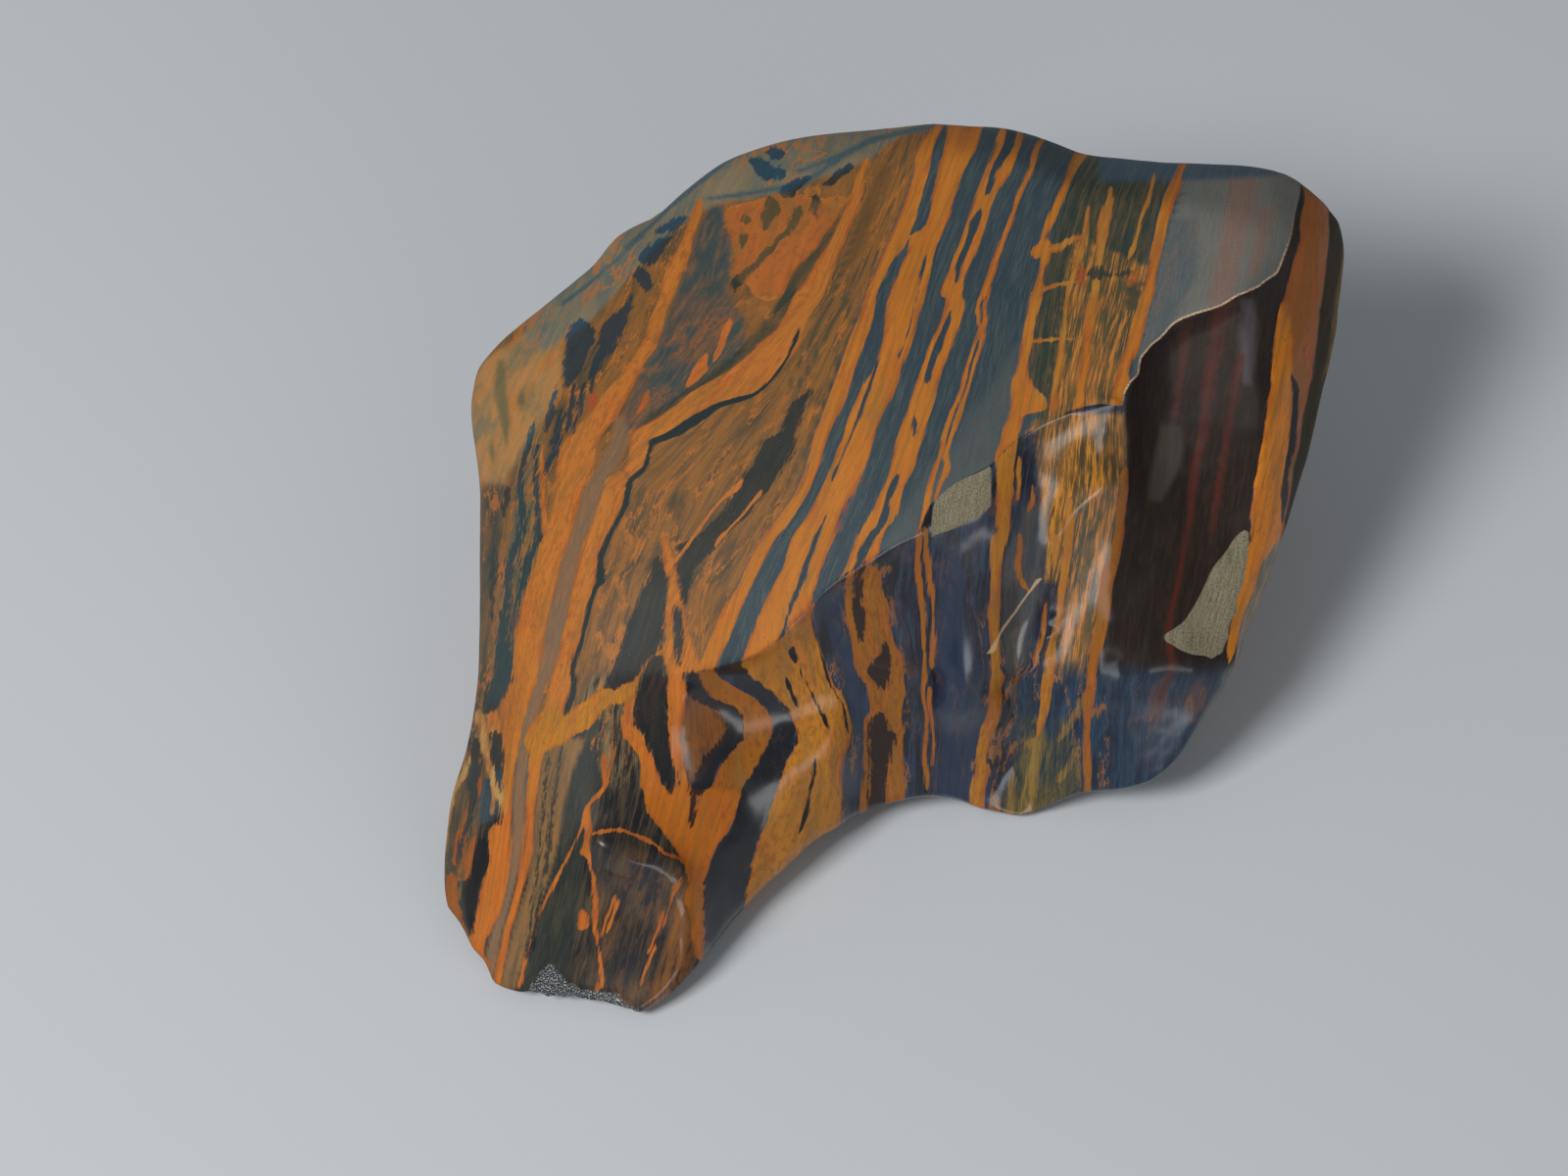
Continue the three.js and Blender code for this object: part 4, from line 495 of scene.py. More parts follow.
RIBBONS["dark", "front", "up"] = {
    "s_spot": ((-7.6, 1, 1.25), (-7, .6, 1.45), (-6.4, .4, 1.2), (-5.9, .7, .95)),
    "s_spot2": ((-9.1, 1.8, 1.95), (-8.5, 1.55, 1.9), (-7.8, 1.5, 1.65)),
    "s_spot3": ((-14.3, 4.35, 4.5), (-13.3, 3.85, 4.3), (-12.2, 3.35, 3.65), (-11.2, 2.85, 3.15),
     (-10.2, 2.35, 2.65), (-9.4, 2.15, 2.3)),
    "s_spot4": ((-12, 1.25, 1.4), (-10.5, .6, .9), (-9.2, .25, .35)),
    "s_spot5": ((-14.7, 6.38, 6.48), (-12.6, 6.1, 6.3), (-10.5, 5, 5.25), (-8.5, 4.1, 4.35),
     (-6.5, 3.55, 3.75), (-4.5, 2.9, 3.1), (-2.8, 2.5, 2.65)),
    "s_spot6": ((-25.2, 1.4, 1.55), (-24, 1.6, 2.2), (-22.5, 2, 2.6), (-21, 2.4, 2.8), (-19.5, 2.7, 3.1),
     (-17.6, 3.1, 3.2)),
}
RIBBONS["shade", "any", "level"] = {
    "q": ((-3.3, 43.2, 43.7), (-2.5, 41.8, 44), (-1.7, 41.6, 43.5), (-.3, 41.9, 43), (.1, 42.3, 42.7)),
    "q_b": ((-1.6, 44.2, 44.6), (-1, 43.7, 45), (-.3, 43.8, 44.7), (.3, 44.25, 44.35)),
    "q_c": ((-.3, 40.2, 40.7), (.5, 40, 41.2), (1.2, 40.4, 41.5), (2.2, 41.4, 41.9), (2.7, 41.85, 41.95)),
    "q_d": ((4.1, 41, 41.4), (5, 41.2, 42.2), (5.8, 41.8, 42.7), (6.9, 42.8, 43.1)),
    "q_e": ((-14.8, 33.4, 34), (-14, 32.8, 34.8), (-13.2, 33.2, 35.4), (-12.4, 34.2, 35.8),
     (-11.7, 35.4, 35.9)),
    "q_f": ((-15.3, 31.7, 32.2), (-14.5, 30.8, 32.8), (-13.9, 30.2, 32.2), (-13.5, 30.6, 31.4)),
    "q_g": ((-13, 36.1, 36.6), (-12, 36.2, 37.4), (-11, 36.6, 37.8), (-10.1, 37.6, 37.9)),
}
RIBBONS["shade", "any", "up"] = {
    "red_v1": ((30.4, -5.3, -4.8), (31, -5.4, -4.2), (31.8, -4.8, -3.4), (32.6, -3.8, -2.7),
     (33.4, -2.9, -2), (34.2, -2.1, -1.2), (35, -1.4, -.6), (35.8, -.7, .3), (36.8, .2, 1.1),
     (37.8, .7, 1.5), (38.8, 1.2, 1.7)),
    "wedge": ((-10, -17.55, -16.6), (-9, -17.5, -15), (-8, -17.45, -14.4), (-7.2, -17.2, -13.8),
     (-6.3, -16.8, -12.7), (-5.2, -16.5, -12.3), (-3.4, -16, -12.2), (-2.3, -15.4, -12.15),
     (0, -14.3, -12), (.9, -13.9, -11.95), (2, -13.6, -12.2), (3, -13.2, -12.5)),
    "vein_eye": ((-7.8, -10.8, -10.65), (-7, -11, -10.5), (-6, -11.2, -10.3), (-4, -11.3, -10.3),
     (-2.5, -11.3, -10.7), (-1.8, -11.1, -10.9)),
    "dark_notch": ((-20.8, -11.8, -11.4), (-19.7, -12.4, -10.9), (-18.7, -12.8, -11.1),
     (-17.5, -13.3, -11.4), (-16.2, -13.9, -11.6), (-15, -14.3, -11.8), (-13.7, -15.3, -11.9),
     (-12.5, -15.4, -11.9), (-11.2, -15.1, -11.95), (-10, -14.8, -12), (-9, -14.5, -12.1),
     (-7.2, -13.6, -12.3)),
    "v_eye": ((-24.4, -9.45, -9.35), (-23.5, -9.7, -9.1), (-22, -9.7, -8.85), (-20.6, -9.7, -8.8),
     (-19.8, -9.4, -9)),
    "n_spot": ((20.2, -22.4, -22.2), (21.2, -22.5, -21.6), (22.2, -22.6, -20.5), (23, -22.5, -20.2),
     (24.1, -22.2, -19.8), (25.2, -22.1, -19.3), (26.2, -22, -19.4), (27.2, -21.2, -20.4)),
    "n_spot2": ((20, -19.8, -19.6), (21.2, -19.8, -19.2), (22.4, -19.7, -18.9), (23.6, -19.5, -17.9),
     (24.3, -19.25, -17.4), (25.5, -18.85, -16.7), (27, -18.3, -16.05), (27.8, -17.4, -15.9),
     (28.5, -16.6, -15.65), (29.7, -15.7, -15.5)),
    "n_a": ((16.1, -24.35, -24.25), (17, -24.3, -23.7), (18.2, -24, -23.5), (19.5, -23.8, -23.3),
     (20.6, -23.4, -23.25)),
    "n_b": ((10.8, -24.4, -24.3), (12.5, -24.4, -23.7), (13.8, -24, -23.1), (15, -23.8, -22.7),
     (16.5, -23.4, -22.6), (18.2, -22.85, -22.75)),
    "n_c": ((15.7, -22.25, -22.15), (17.5, -22.1, -21.7), (19, -21.8, -21.4), (20.7, -21.4, -21.25)),
    "n_d": ((15.9, -21.6, -21.5), (17.5, -21.3, -20.8), (19, -20.9, -20.5), (20.9, -20.5, -20.3)),
    "t": ((-12.8, -30.5, -30), (-11.5, -30.6, -28.8), (-10, -30.1, -28.1), (-9, -29.7, -27.8),
     (-7.5, -29.6, -27.8), (-5, -29.3, -28.05), (-2.5, -28.95, -27.9), (0, -28.6, -27.75),
     (2.5, -28.3, -27.4), (4, -27.7, -27), (5.5, -27.2, -26.5), (7.7, -27, -26.2), (9, -27.3, -26.4),
     (10.9, -27.4, -26.6), (13, -27, -26.2), (15, -26.3, -25.6), (16.8, -25.65, -25.45)),
    "t_b": ((-6.7, -28, -27.8), (-5, -28.15, -27.6), (-3, -27.9, -27.3), (-1.2, -27.5, -27),
     (0, -27.1, -26.4), (1, -26.9, -26), (2.5, -26.6, -25.6), (4, -26, -25.2), (5.4, -25.4, -24.6),
     (7, -25.5, -24.9), (8.8, -25.6, -24.9), (10.9, -25.8, -25.1), (12.5, -25.5, -25.1),
     (14.4, -25.3, -25)),
    "t_c": ((7.3, -28.75, -28.6), (8.2, -28.9, -28.1), (9.2, -28.8, -28), (10.4, -28.5, -28.2)),
    "t_d": ((-3.2, -29.9, -29.8), (0, -30, -29.6), (2, -30, -29.3), (4.4, -29.5, -29.3)),
    "thread": ((-38, -26.4, -26.3), (-34, -25.9, -25.75), (-30, -25.4, -25.2), (-26, -25.05, -24.85),
     (-23, -24.75, -24.55), (-20, -24.45, -24.25), (-16.8, -24, -23.9)),
    "thread2": ((-38.5, -26.15, -26.05), (-35, -25.6, -25.4), (-31, -24.95, -24.7), (-27, -24.3, -24),
     (-23, -23.8, -23.45), (-19.5, -23.3, -23), (-16.4, -22.7, -22.6)),
    "dark_wedge": ((-20.7, -29.05, -28.9), (-19, -29.5, -28.65), (-17.5, -29.8, -28.6),
     (-16.2, -29.9, -28.7), (-15, -30, -28.8)),
    "dark_eye": ((-24.2, -29.2, -28.95), (-23.5, -29.6, -28.8), (-22.5, -29.6, -28.9),
     (-21.6, -29.3, -29.15)),
    "left_dark": ((-35.2, -32.1, -31.8), (-34, -32.7, -31.6), (-32.5, -33, -31.3), (-31.2, -33.1, -31.1),
     (-30.2, -33.1, -30.8), (-29.5, -32.2, -30.6), (-28, -31.8, -30.2), (-26.5, -31.4, -30.2),
     (-25.8, -31.3, -30.3)),
    "left_dark2": ((-28, -33.4, -33.2), (-26, -33.2, -32.6), (-24, -32.6, -32), (-21.5, -32.2, -31.4),
     (-19.5, -32.4, -31.1), (-17.5, -32.2, -30.9), (-15.5, -32.1, -31.3)),
    "r_a": ((36.8, -2.3, -1.6), (37.8, -2.5, -1), (38.8, -2.3, -.6), (39.7, -2, -1)),
    "r_b": ((37.2, -3.95, -3.8), (37.8, -4.1, -3.4), (38.4, -3.9, -3.5)),
    "r_c": ((34.8, -4.4, -4.25), (35.5, -4.6, -4), (36.4, -4.3, -4.1)),
    "r_e": ((37.8, 3.1, 3.5), (38.8, 2.8, 3.7), (40, 3.1, 3.5)),
    "black_streak": ((-1.4, -10.3, -10), (0, -10.6, -9.7), (1, -10.7, -9.4), (2.5, -11, -8.6),
     (4, -11, -7), (5, -9.4, -6.2), (6.3, -7.8, -5), (7.5, -6.7, -3.5), (8.8, -5.6, -2.7), (10, -5, -1.5),
     (11.3, -4.3, -.7), (12.5, -3.4, .1), (13.8, -2.6, 1), (15, -2.1, 1.2), (16, -.3, 1.3),
     (17.5, .2, 1.9), (18.8, .8, 2.2), (20.2, 2.5, 2.7)),
}
RIBBONS["shade", "broad", "level"] = {
    "h_lens": ((31, 31.8, 32.3), (31.6, 31.5, 32.7), (32.2, 31.5, 32.7), (32.8, 31.7, 32.4),
     (34, 31.8, 32.15), (35.4, 32.1, 32.5)),
}
RIBBONS["shade", "front", "up"] = {
    "s_grain": ((-21.2, -9.1, -8.8), (-20.5, -9.2, -8), (-19.5, -9.2, -7.2), (-18.5, -8.8, -6.7),
     (-17.5, -8.4, -6), (-16.5, -7.4, -5.1), (-15.5, -6.6, -4.4), (-14.5, -6, -4.25), (-13.7, -5.8, -4.2),
     (-13, -6.3, -4.3), (-12.2, -7.5, -5), (-11.2, -9.4, -7.3), (-10, -10, -8.4), (-8.8, -10.3, -8.9)),
    "s_dark": ((-36, -8.1, -5.5), (-32.5, -8.1, -4.2), (-30.1, -8, -3.6), (-28, -7.7, -3.15),
     (-25.9, -6.5, -2.65), (-24.6, -5.2, -2.2), (-22.5, -4.7, -1.6), (-21.05, -4.2, -.95),
     (-19.15, -3.4, -.3), (-17.7, -2.7, .3), (-16.4, -1.9, 1.05), (-14.9, -1.2, 1.35), (-13.7, -1.15, .9),
     (-12.2, -1.9, .1), (-10.9, -3.4, -.95), (-9.9, -4.8, -2.2), (-8.8, -5.6, -3.5), (-7.6, -6.7, -4.4),
     (-7, -6.7, -4.3)),
    "d_gap": ((-5, 7.55, 7.65), (-4, 7.35, 8), (-2.5, 7.05, 8.3), (-1.2, 7.05, 7.8), (0, 7.05, 8),
     (1, 7.1, 8), (2.5, 7.55, 8.4), (3.2, 7.7, 8.4)),
    "d_gap2": ((-10.2, 9.9, 10.1), (-9, 8.8, 10.5), (-8.5, 8.4, 10.5), (-7.5, 8.7, 10.55), (-6, 9.7, 10.6),
     (-5.1, 10.2, 10.4)),
    "d_gap3": ((-25, 8.2, 10.5), (-21.2, 8.55, 10.4), (-20, 8.7, 10.3), (-18.7, 8.7, 10.5),
     (-17.5, 8.7, 10.8), (-16.2, 8.6, 11.1), (-15, 8.5, 11.4), (-14.5, 8.55, 10.9), (-13.7, 8.65, 10.5),
     (-12.9, 9.1, 10.2)),
}
RIBBONS["dull", "any", "up"] = {
    "j_outer": ((20.5, 55, 55.2), (22.5, 55.2, 55.9), (25, 55.6, 56.4), (27.5, 55.9, 56.7),
     (30, 56.35, 57.05), (32.5, 56.9, 57.4), (35, 57.15, 57.6), (39, 57.2, 57.5)),
    "under_strip": ((-9.5, 45, 45.6), (-7.5, 45.5, 46.8), (-5, 46.2, 48), (-2.5, 47, 49), (0, 48.1, 50),
     (2.5, 48.9, 50.6), (4, 49.4, 51.2), (6, 50.3, 51.8)),
}
RIBBONS["dull", "front", "up"] = {
    "i_branch": ((-15.5, 27.9, 28.3), (-14.5, 28.3, 29.2), (-13.5, 29, 29.9), (-12.5, 29.6, 30.4),
     (-11.2, 30.3, 30.8)),
    "o_low": ((-25, 23.4, 24.8), (-22, 24, 25.5), (-20, 24.5, 25.9), (-17.5, 25.15, 26.2),
     (-14.5, 26, 26.5)),
    "o_low2": ((-25, 22.2, 22.6), (-21.5, 22.5, 23), (-20, 22.7, 23.25), (-18.8, 23.1, 23.3)),
    "o_low3": ((-25, 22.9, 23.3), (-21, 23.4, 23.7), (-19.3, 23.65, 23.8)),
    "o_low4": ((-19.6, 27.9, 28.4), (-18, 28.8, 29.6), (-16.5, 29.5, 30)),
}
RIBBONS["hair", "any", "up"] = {
    "hair": ((2.7, -11.1, -10.9), (4, -10.3, -10), (5.8, -8.9, -8.6), (8.5, -7, -6.7), (11, -4.4, -4.2)),
    "hair2": ((4.4, -7, -6.75), (6, -5.8, -5.5), (7.5, -4.3, -4), (8.8, -3.4, -3), (9.7, -2.6, -2.2)),
}
RIBBONS["hair", "broad", "up"] = {
    "i_left": ((33.8, 35.2, 35.4), (35.8, 35.8, 36.1), (37.5, 36.2, 36.5), (40, 37.2, 37.45),
     (42.4, 37.7, 37.85)),
}
# The lighter olive-grey of these two pale faces is a painted reflection of bright light in flat facets.
RIBBONS["pale", "front", "up"] = {
    "pale_face": ((5.3, 15.05, 15.3), (5.9, 15.05, 16.95), (6.9, 15.1, 19.1), (8, 15.2, 20.8),
     (8.5, 15.3, 21.15), (9.5, 15.8, 21.15), (10.7, 17.5, 21.15), (12.2, 20.6, 21.1)),
    "pale_face2": ((-6.8, 42.8, 43.8), (-6.5, 41.2, 44.4), (-5.7, 39.5, 44.8), (-5, 38.7, 45.2),
     (-4.2, 39.7, 45.3), (-3.4, 40.8, 45.5), (-2.5, 41.45, 46.1), (-1.2, 42.2, 46.15), (.2, 42.9, 46.7),
     (2.1, 43.8, 47.1), (3.6, 45, 47.3), (5.5, 46.4, 47.4)),
}
RIBBONS["cream", "any", "level"] = {
    "cream_line": ((20.5, -6.2, -5.9), (21.8, -4.65, -4.3), (23.5, -2.6, -2.25), (24.9, -.7, -.4),
     (26.2, .8, 1)),
}
RIBBONS["chip", "any", "up"] = {
    "chips": ((-44.2, -16, -13.5), (-43.4, -17.6, -14.8), (-42.8, -19.2, -15.5), (-42.2, -24, -16),
     (-41.8, -26, -16.4), (-41.4, -26.6, -16.8), (-41, -26.4, -20.8), (-40.5, -25.9, -21.6),
     (-40, -25.4, -22.3), (-39.2, -24.9, -23), (-38.5, -24.3, -23.4)),
}

# Ribbons with an ochre tone of their own.
RIBBON_TONES = {
    "cross": "gold_ochre", "v": "amber", "s_wide": "gold_ochre", "g_front": "gold_ochre",
    "g_thin": "gold_ochre", "g_thin2": "gold_ochre", "g_thin3": "gold_ochre",
    "h_front": "gold_ochre", "h_thin2": "gold_ochre", "j": "rust", "j_gold": "bright_gold",
    "edge_ridge": "pale_ochre", "left_low": "pale_ochre", "left_low2": "rust",
    "left_low3": "rust", "left_low4": "rust",
}

# Relief on the skin, in millimetres.
NEAR_SKIN = 1.0  # depth down to which a point belongs to the near face
DEPTH_SLACK = 0.25  # depth that is taken off, so that the skin itself counts as 0
FRONT_FADE = 1.5  # width past the ridge over which the front's relief sets in
BAND_SLOPE = 0.5  # width over which a band's edge rises
BAND_RISE = 0.06  # the harder ochre bands stand proud of the front
CHIP_DROP = 0.25  # how deep the chip at the foot's tip is broken out
CREST_END = 0.15  # share of its height that a crest still has at its ends

# Soft noises in the relief: height, lumps for each millimetre, seed, octaves.
RIPPLE = (0.05, 0.32, 1.0, 3)
WAVES = (0.12, 0.11, 2.0, 3)
HACKLE = (0.35, 0.9, 3.0, 4)
SEED_STEPS = (7.31, 3.17, 1.73)
OCTAVE_FADE = 1.0  # each octave is half as strong as the one before
OCTAVE_STEP = 2.0  # and its lumps are half as wide

# Spots whose bumps are evened out: sheet x, sheet y, reach.
CALM = ((25.6, -7, 2.6), (20.8, -19.5, 2.2))
CALM_ROUNDS = 12

# Raised lines: name, height, reach on the left and on the right, path.
CRESTS = (
    ("foot crest", 0.7, 1.3, 2.4,
     ((-20.3, -27.2), (-19.6, -26.6), (-18.8, -26.2), (-17.8, -26.6), (-16.6, -27.2),
      (-15.2, -27.7), (-13.8, -27.9), (-12.5, -28), (-11.5, -28.6), (-10.8, -29.4),
      (-10.3, -30.5), (-10.1, -31.8))),
    ("foot ripple", 0.15, 0.4, 0.7,
     ((-18.6, -27.6), (-17.4, -28.4), (-16, -28.9), (-14.4, -29))),
    ("front swell", 3, 4, 3.4,
     ((14.5, -9), (16.5, -9.6), (18.5, -9.9), (20.5, -10), (22, -10))),
    ("fold swell", 1.3, 2.2, 2.2,
     ((3.4, -4.6), (5, -5.2), (6.6, -5.8))),
    ("front fold", 0.7, 0.7, 1.0,
     ((27.5, -3.8), (26.4, -5.6), (25.4, -7), (24.7, -10.9), (23.8, -14.2))),
    ("low shelf", 1.2, 2.6, 2.2,
     ((33.6, -7.6), (36, -8), (39, -7.8), (42, -8.2), (45, -8.8))),
)

# The looks of the zones. None leaves what lies below. The parts are: ground, streak colour,
# streak share, mottle share, ochre tone, dark tone, roughness, and the width of the soft edge.
ZONE_LOOKS = {
    "brown": ((124, 83, 42), (56, 56, 46), 0.55, 0.75, (160, 96, 38), (32, 41, 41), None, 0.6),
    "black": ((29, 30, 32), (112, 93, 64), 0.28, 0.14, (160, 90, 30), (24, 25, 27), None, 0.8),
    "polish": ((30, 30, 33), (96, 72, 44), 0.3, 0.4, None, None, 0.36, 0.8),
    "lens": ((56, 66, 64), (120, 76, 40), 0.5, 0.45, (158, 88, 36), (46, 54, 50), None, 0.6),
    "fibre": ((66, 64, 46), (170, 108, 46), 0.95, 0.3, None, (44, 52, 46), None, 0.5),
    # grey: partly a painted sheen of bright light on the broad face.
    "grey": ((96, 98, 94), (100, 92, 82), 0.35, 0.3, None, (56, 64, 74), None, 0.5),
    "grey_warm": ((112, 92, 82), (104, 86, 74), 0.4, 0.3, None, None, None, 1.2),
    # grey_cool: bluish patches that are partly a painted reflection.
    "grey_cool": ((78, 84, 86), (88, 88, 84), 0.4, 0.4, None, None, None, 0.9),
    # rim_blue: partly the stone's blue-grey, partly a painted blue reflection.
    "rim_blue": ((52, 70, 84), (78, 84, 80), 0.4, 0.3, None, None, None, 0.9),
    "slate_foot": ((36, 40, 38), (66, 62, 48), 0.4, 0.2, None, None, 0.5, 0.8),
    "edge_brown": ((98, 74, 46), (46, 54, 50), 0.6, 0.7, (152, 90, 44), (40, 50, 50), 0.5, 0.7),
    "olive_dark": ((44, 38, 28), (58, 48, 32), 0.5, 0.3, None, (40, 36, 28), 0.5, 0.6),
    "scoop_grey": ((72, 66, 68), (48, 40, 40), 0.5, 0.3, None, None, None, 0.8),
    # streak_blue: streaks whose blue is partly a painted reflection.
    "streak_blue": ((60, 80, 86), (80, 86, 80), 0.3, 0.3, None, None, None, 0.35),
    "moss_front": ((46, 50, 58), (70, 68, 60), 0.6, 0.4, None, None, None, 1.0),
    "redarea": (None, None, None, None, (146, 84, 38), (70, 64, 44), None, 0.6),
    "gold": ((60, 50, 28), (172, 112, 32), 0.95, 0.3, (150, 98, 26), (28, 28, 22), 0.28, 0.5),
    "scoop": ((31, 25, 22), (52, 36, 27), 0.5, 0.1, None, (24, 20, 20), 0.45, 0.6),
    # navy: partly the ore's own blue, partly a painted blue reflection.
    "navy": ((11, 24, 42), (30, 54, 72), 0.6, 0.4, None, (12, 20, 34), 0.32, 3.0),
    "olive": ((118, 86, 50), (66, 62, 50), 0.7, 0.2, None, (44, 45, 40), None, 0.3),
    "purple": ((104, 83, 64), (132, 88, 50), 0.4, 0.2, None, None, None, 0.4),
    "tan": ((156, 110, 62), (88, 92, 72), 0.4, 0.7, None, (40, 72, 80), None, 1.2),
    # veil: partly the stone's colour, partly a painted reflection that pales and blues the bevel.
    "veil": ((118, 104, 80), (72, 88, 86), 0.6, 0.7, None, (30, 60, 76), None, 1.0),
    "umber": ((86, 64, 40), (126, 80, 36), 0.4, 0.2, None, None, None, 0.8),
    "umber2": ((124, 72, 26), (56, 42, 26), 0.5, 0.6, None, None, None, 0.5),
    "dark_soft": ((68, 64, 46), (44, 48, 42), 0.3, 0.2, None, None, None, 0.25),
    "redbrown": ((74, 34, 24), (40, 26, 22), 0.6, 0.2, None, None, None, 0.4),
    # olive_face: its lighter olive-grey is a painted reflection of bright light.
    "olive_face": ((62, 58, 50), (48, 44, 38), 0.5, 0.2, None, None, 0.5, 0.8),
    "moss": ((100, 88, 60), (82, 76, 54), 0.2, 0.3, None, None, None, 0.5),
    "red": ((146, 64, 38), (136, 76, 40), 0.2, 0.3, None, None, None, 0.4),
    "streaks": ((112, 70, 32), (34, 32, 28), 0.9, 0.2, None, None, None, 0.6),
    "flank": ((78, 76, 60), (128, 88, 46), 0.85, 0.5, None, (34, 54, 58), None, 0.8),
    # cool_dark: partly the stone's tone, partly a painted blue reflection.
    "cool_dark": (None, None, None, None, None, (34, 48, 54), None, 1.0),
    "fibre_thin": ((42, 53, 48), (126, 92, 46), 0.26, 0.1, (150, 104, 44), (38, 48, 46), None, 1.2),
    "slate_low": ((72, 77, 75), (58, 68, 74), 0.5, 0.3, None, (50, 56, 56), None, 2.6),
    "messy": (None, None, 0.8, 0.8, None, None, None, 1.2),
    "green_low": ((24, 38, 44), (88, 74, 32), 0.6, 0.5, (120, 86, 28), (20, 30, 34), None, 1.6),
    "rust_low": ((44, 46, 56), (84, 52, 38), 0.6, 0.5, None, None, None, 1.2),
    # blue: lighter steel-blue, partly the ore's own tone and partly a painted sheen.
    "blue": ((30, 42, 62), (16, 25, 42), 0.7, 0.4, None, None, None, 1.4),
    "lens_dark": ((44, 52, 46), (94, 70, 42), 0.45, 0.4, None, None, None, 0.4),
}
LOOK_PARTS = ("ground", "streak", "streak_share", "mottle_share", "ochre", "dark", "roughness")
COLOUR_PARTS = ("ground", "streak", "ochre", "dark")

# The looks that lie below all zones, on the broad upper face and on the front. The front's darker ground
# and ochre are partly painted shade, and the blue of its streaks partly a painted blue reflection; the
# broad face's light blue-grey ground is partly a painted sheen.
BASE_LOOKS = {
    "broad": ((46, 59, 66), (68, 77, 74), 0.6, 0.15, (158, 96, 34), (44, 56, 62), 0.5),
    "front": ((14, 14, 20), (34, 46, 68), 0.8, 0.4, (126, 76, 18), (17, 19, 24), 0.28),
}

# Tones of the ochre bands.
OCHRES = {
    "gold_ochre": (152, 98, 28), "bright_gold": (182, 108, 24), "amber": (154, 86, 22),
    "rust": (126, 74, 34), "pale_ochre": (158, 122, 70),
}
OCHRE_FADE = 0.6  # width over which a band's own tone fades out, in millimetres
OCHRE_REACH = 1.2  # it is gone this many widths outside the band

# Noises of the material: stretch of the grain (None: the plain sheet), scale, detail, roughness.
NOISES = {
    "wander": ((1.0, 0.25, 0.5), 1.1, 4.0, 0.65),
    "shake": ((1.0, 0.12, 0.4), 5.0, 2.0, 0.5),
    "streaks": ((1.0, 0.08, 0.3), 1.7, 5.0, 0.62),
    "hairs": ((1.0, 0.08, 0.3), 6.0, 3.0, 0.6),
    "blotches": ((1.0, 0.4, 0.6), 0.5, 4.0, 0.6),
    "flecks": ((1.0, 0.22, 0.5), 4.2, 3.0, 0.6),
    "specks": (None, 4.5, 3.0, 0.6),
    "glints": (None, 7.0, 1.0, 0.5),
    "crumbs": (None, 6.0, 4.0, 0.75),
}
NOISE_MIDDLE = 0.5

# Sums of the noises and of the zones' shares: the start value, then each one's weight.
SUMS = {
    "lines": (0.0, {"streaks": 0.6, "hairs": 0.4}),
    "shade": (0.5, {"hairs": 0.6, "specks": 0.4}),
    "light": (0.42, {"streaks": 0.9, "specks": 0.3}),
    "scratch": (0.0, {"hairs": 1.0, "specks": 0.25}),
    "fleck": (-0.18, {"flecks": 1.0, "mottle_share": 0.16, "blotches": 0.3}),
    "pale_rows": (0.0, {"hairs": 0.5, "specks": 0.5}),
}

# Where a marking starts to show and where it shows in full, on the measure that drives it.
LIMITS = {
    "front": (-0.06, 0.06),
    "lines": (0.46, 0.60),
    "mottle": (0.42, 0.66),
    "vein": (0.045, 0.02),
    "vein_blotch": (0.40, 0.52),
    "vein_mottle": (0.3, 0.7),
    "rust": (0.45, 0.7),
    "fleck": (0.60, 0.70),
    "scratch": (0.70, 0.78),
    "faded": (0.5, 0.34),
    "rim": (0.5, 0.06),
    "rim_blotch": (0.4, 0.58),
    # Painted glints: where the pale specks show, and in which blotches.
    "glint": (0.76, 0.79),
    "glint_blotch": (0.45, 0.6),
    # The pale faces, a painted reflection of bright light: their edge and their rows.
    "pale": (-0.1, 0.1),
    "pale_rows": (0.38, 0.60),
    "chip": (-0.2, 0.3),
    "crumbs": (0.50, 0.62),
    # A painted highlight along the right part of the main ridge: its width, its two ends and its specks.
    "ridge_highlight": (0.16, 0.05),
    "ridge_highlight_left": (34.2, 35.0),
    "ridge_highlight_right": (52.5, 50.5),
    "ridge_highlight_specks": (0.3, 0.55),
    "polish": (0.48, 0.3),
}

# Soft edge of each family of bands, as a multiple of the setting.
BAND_EDGES = {"dull": 2.0, "ochre": 1.0, "dark": 1.0, "shade": 1.5, "hair": 1.0, "cream": 1.0}

# Tones that are laid over the others, each with its full strength.
FINISHES = {
    "dull": ((122, 94, 40), 1.0),
    "rust": ((156, 76, 34), 0.36),
    "faded": ((122, 92, 48), 0.5),
    "rim": ((132, 66, 32), 0.55),
    # The next tone paints glints, pale specks of sparkling light on the ore.
    "glint": ((178, 176, 164), 1.0),
    "cream": ((196, 168, 130), 0.6),
    # The next tone paints a highlight along the main ridge's edge.
    "ridge_highlight": ((186, 158, 128), 1.0),
}
# Tones of the pale faces, drawn in rows: a painted reflection of bright light.
PALE_TONES = ((88, 82, 62), (120, 114, 94))
CHIP_TONES = ((24, 32, 44), (176, 176, 168))

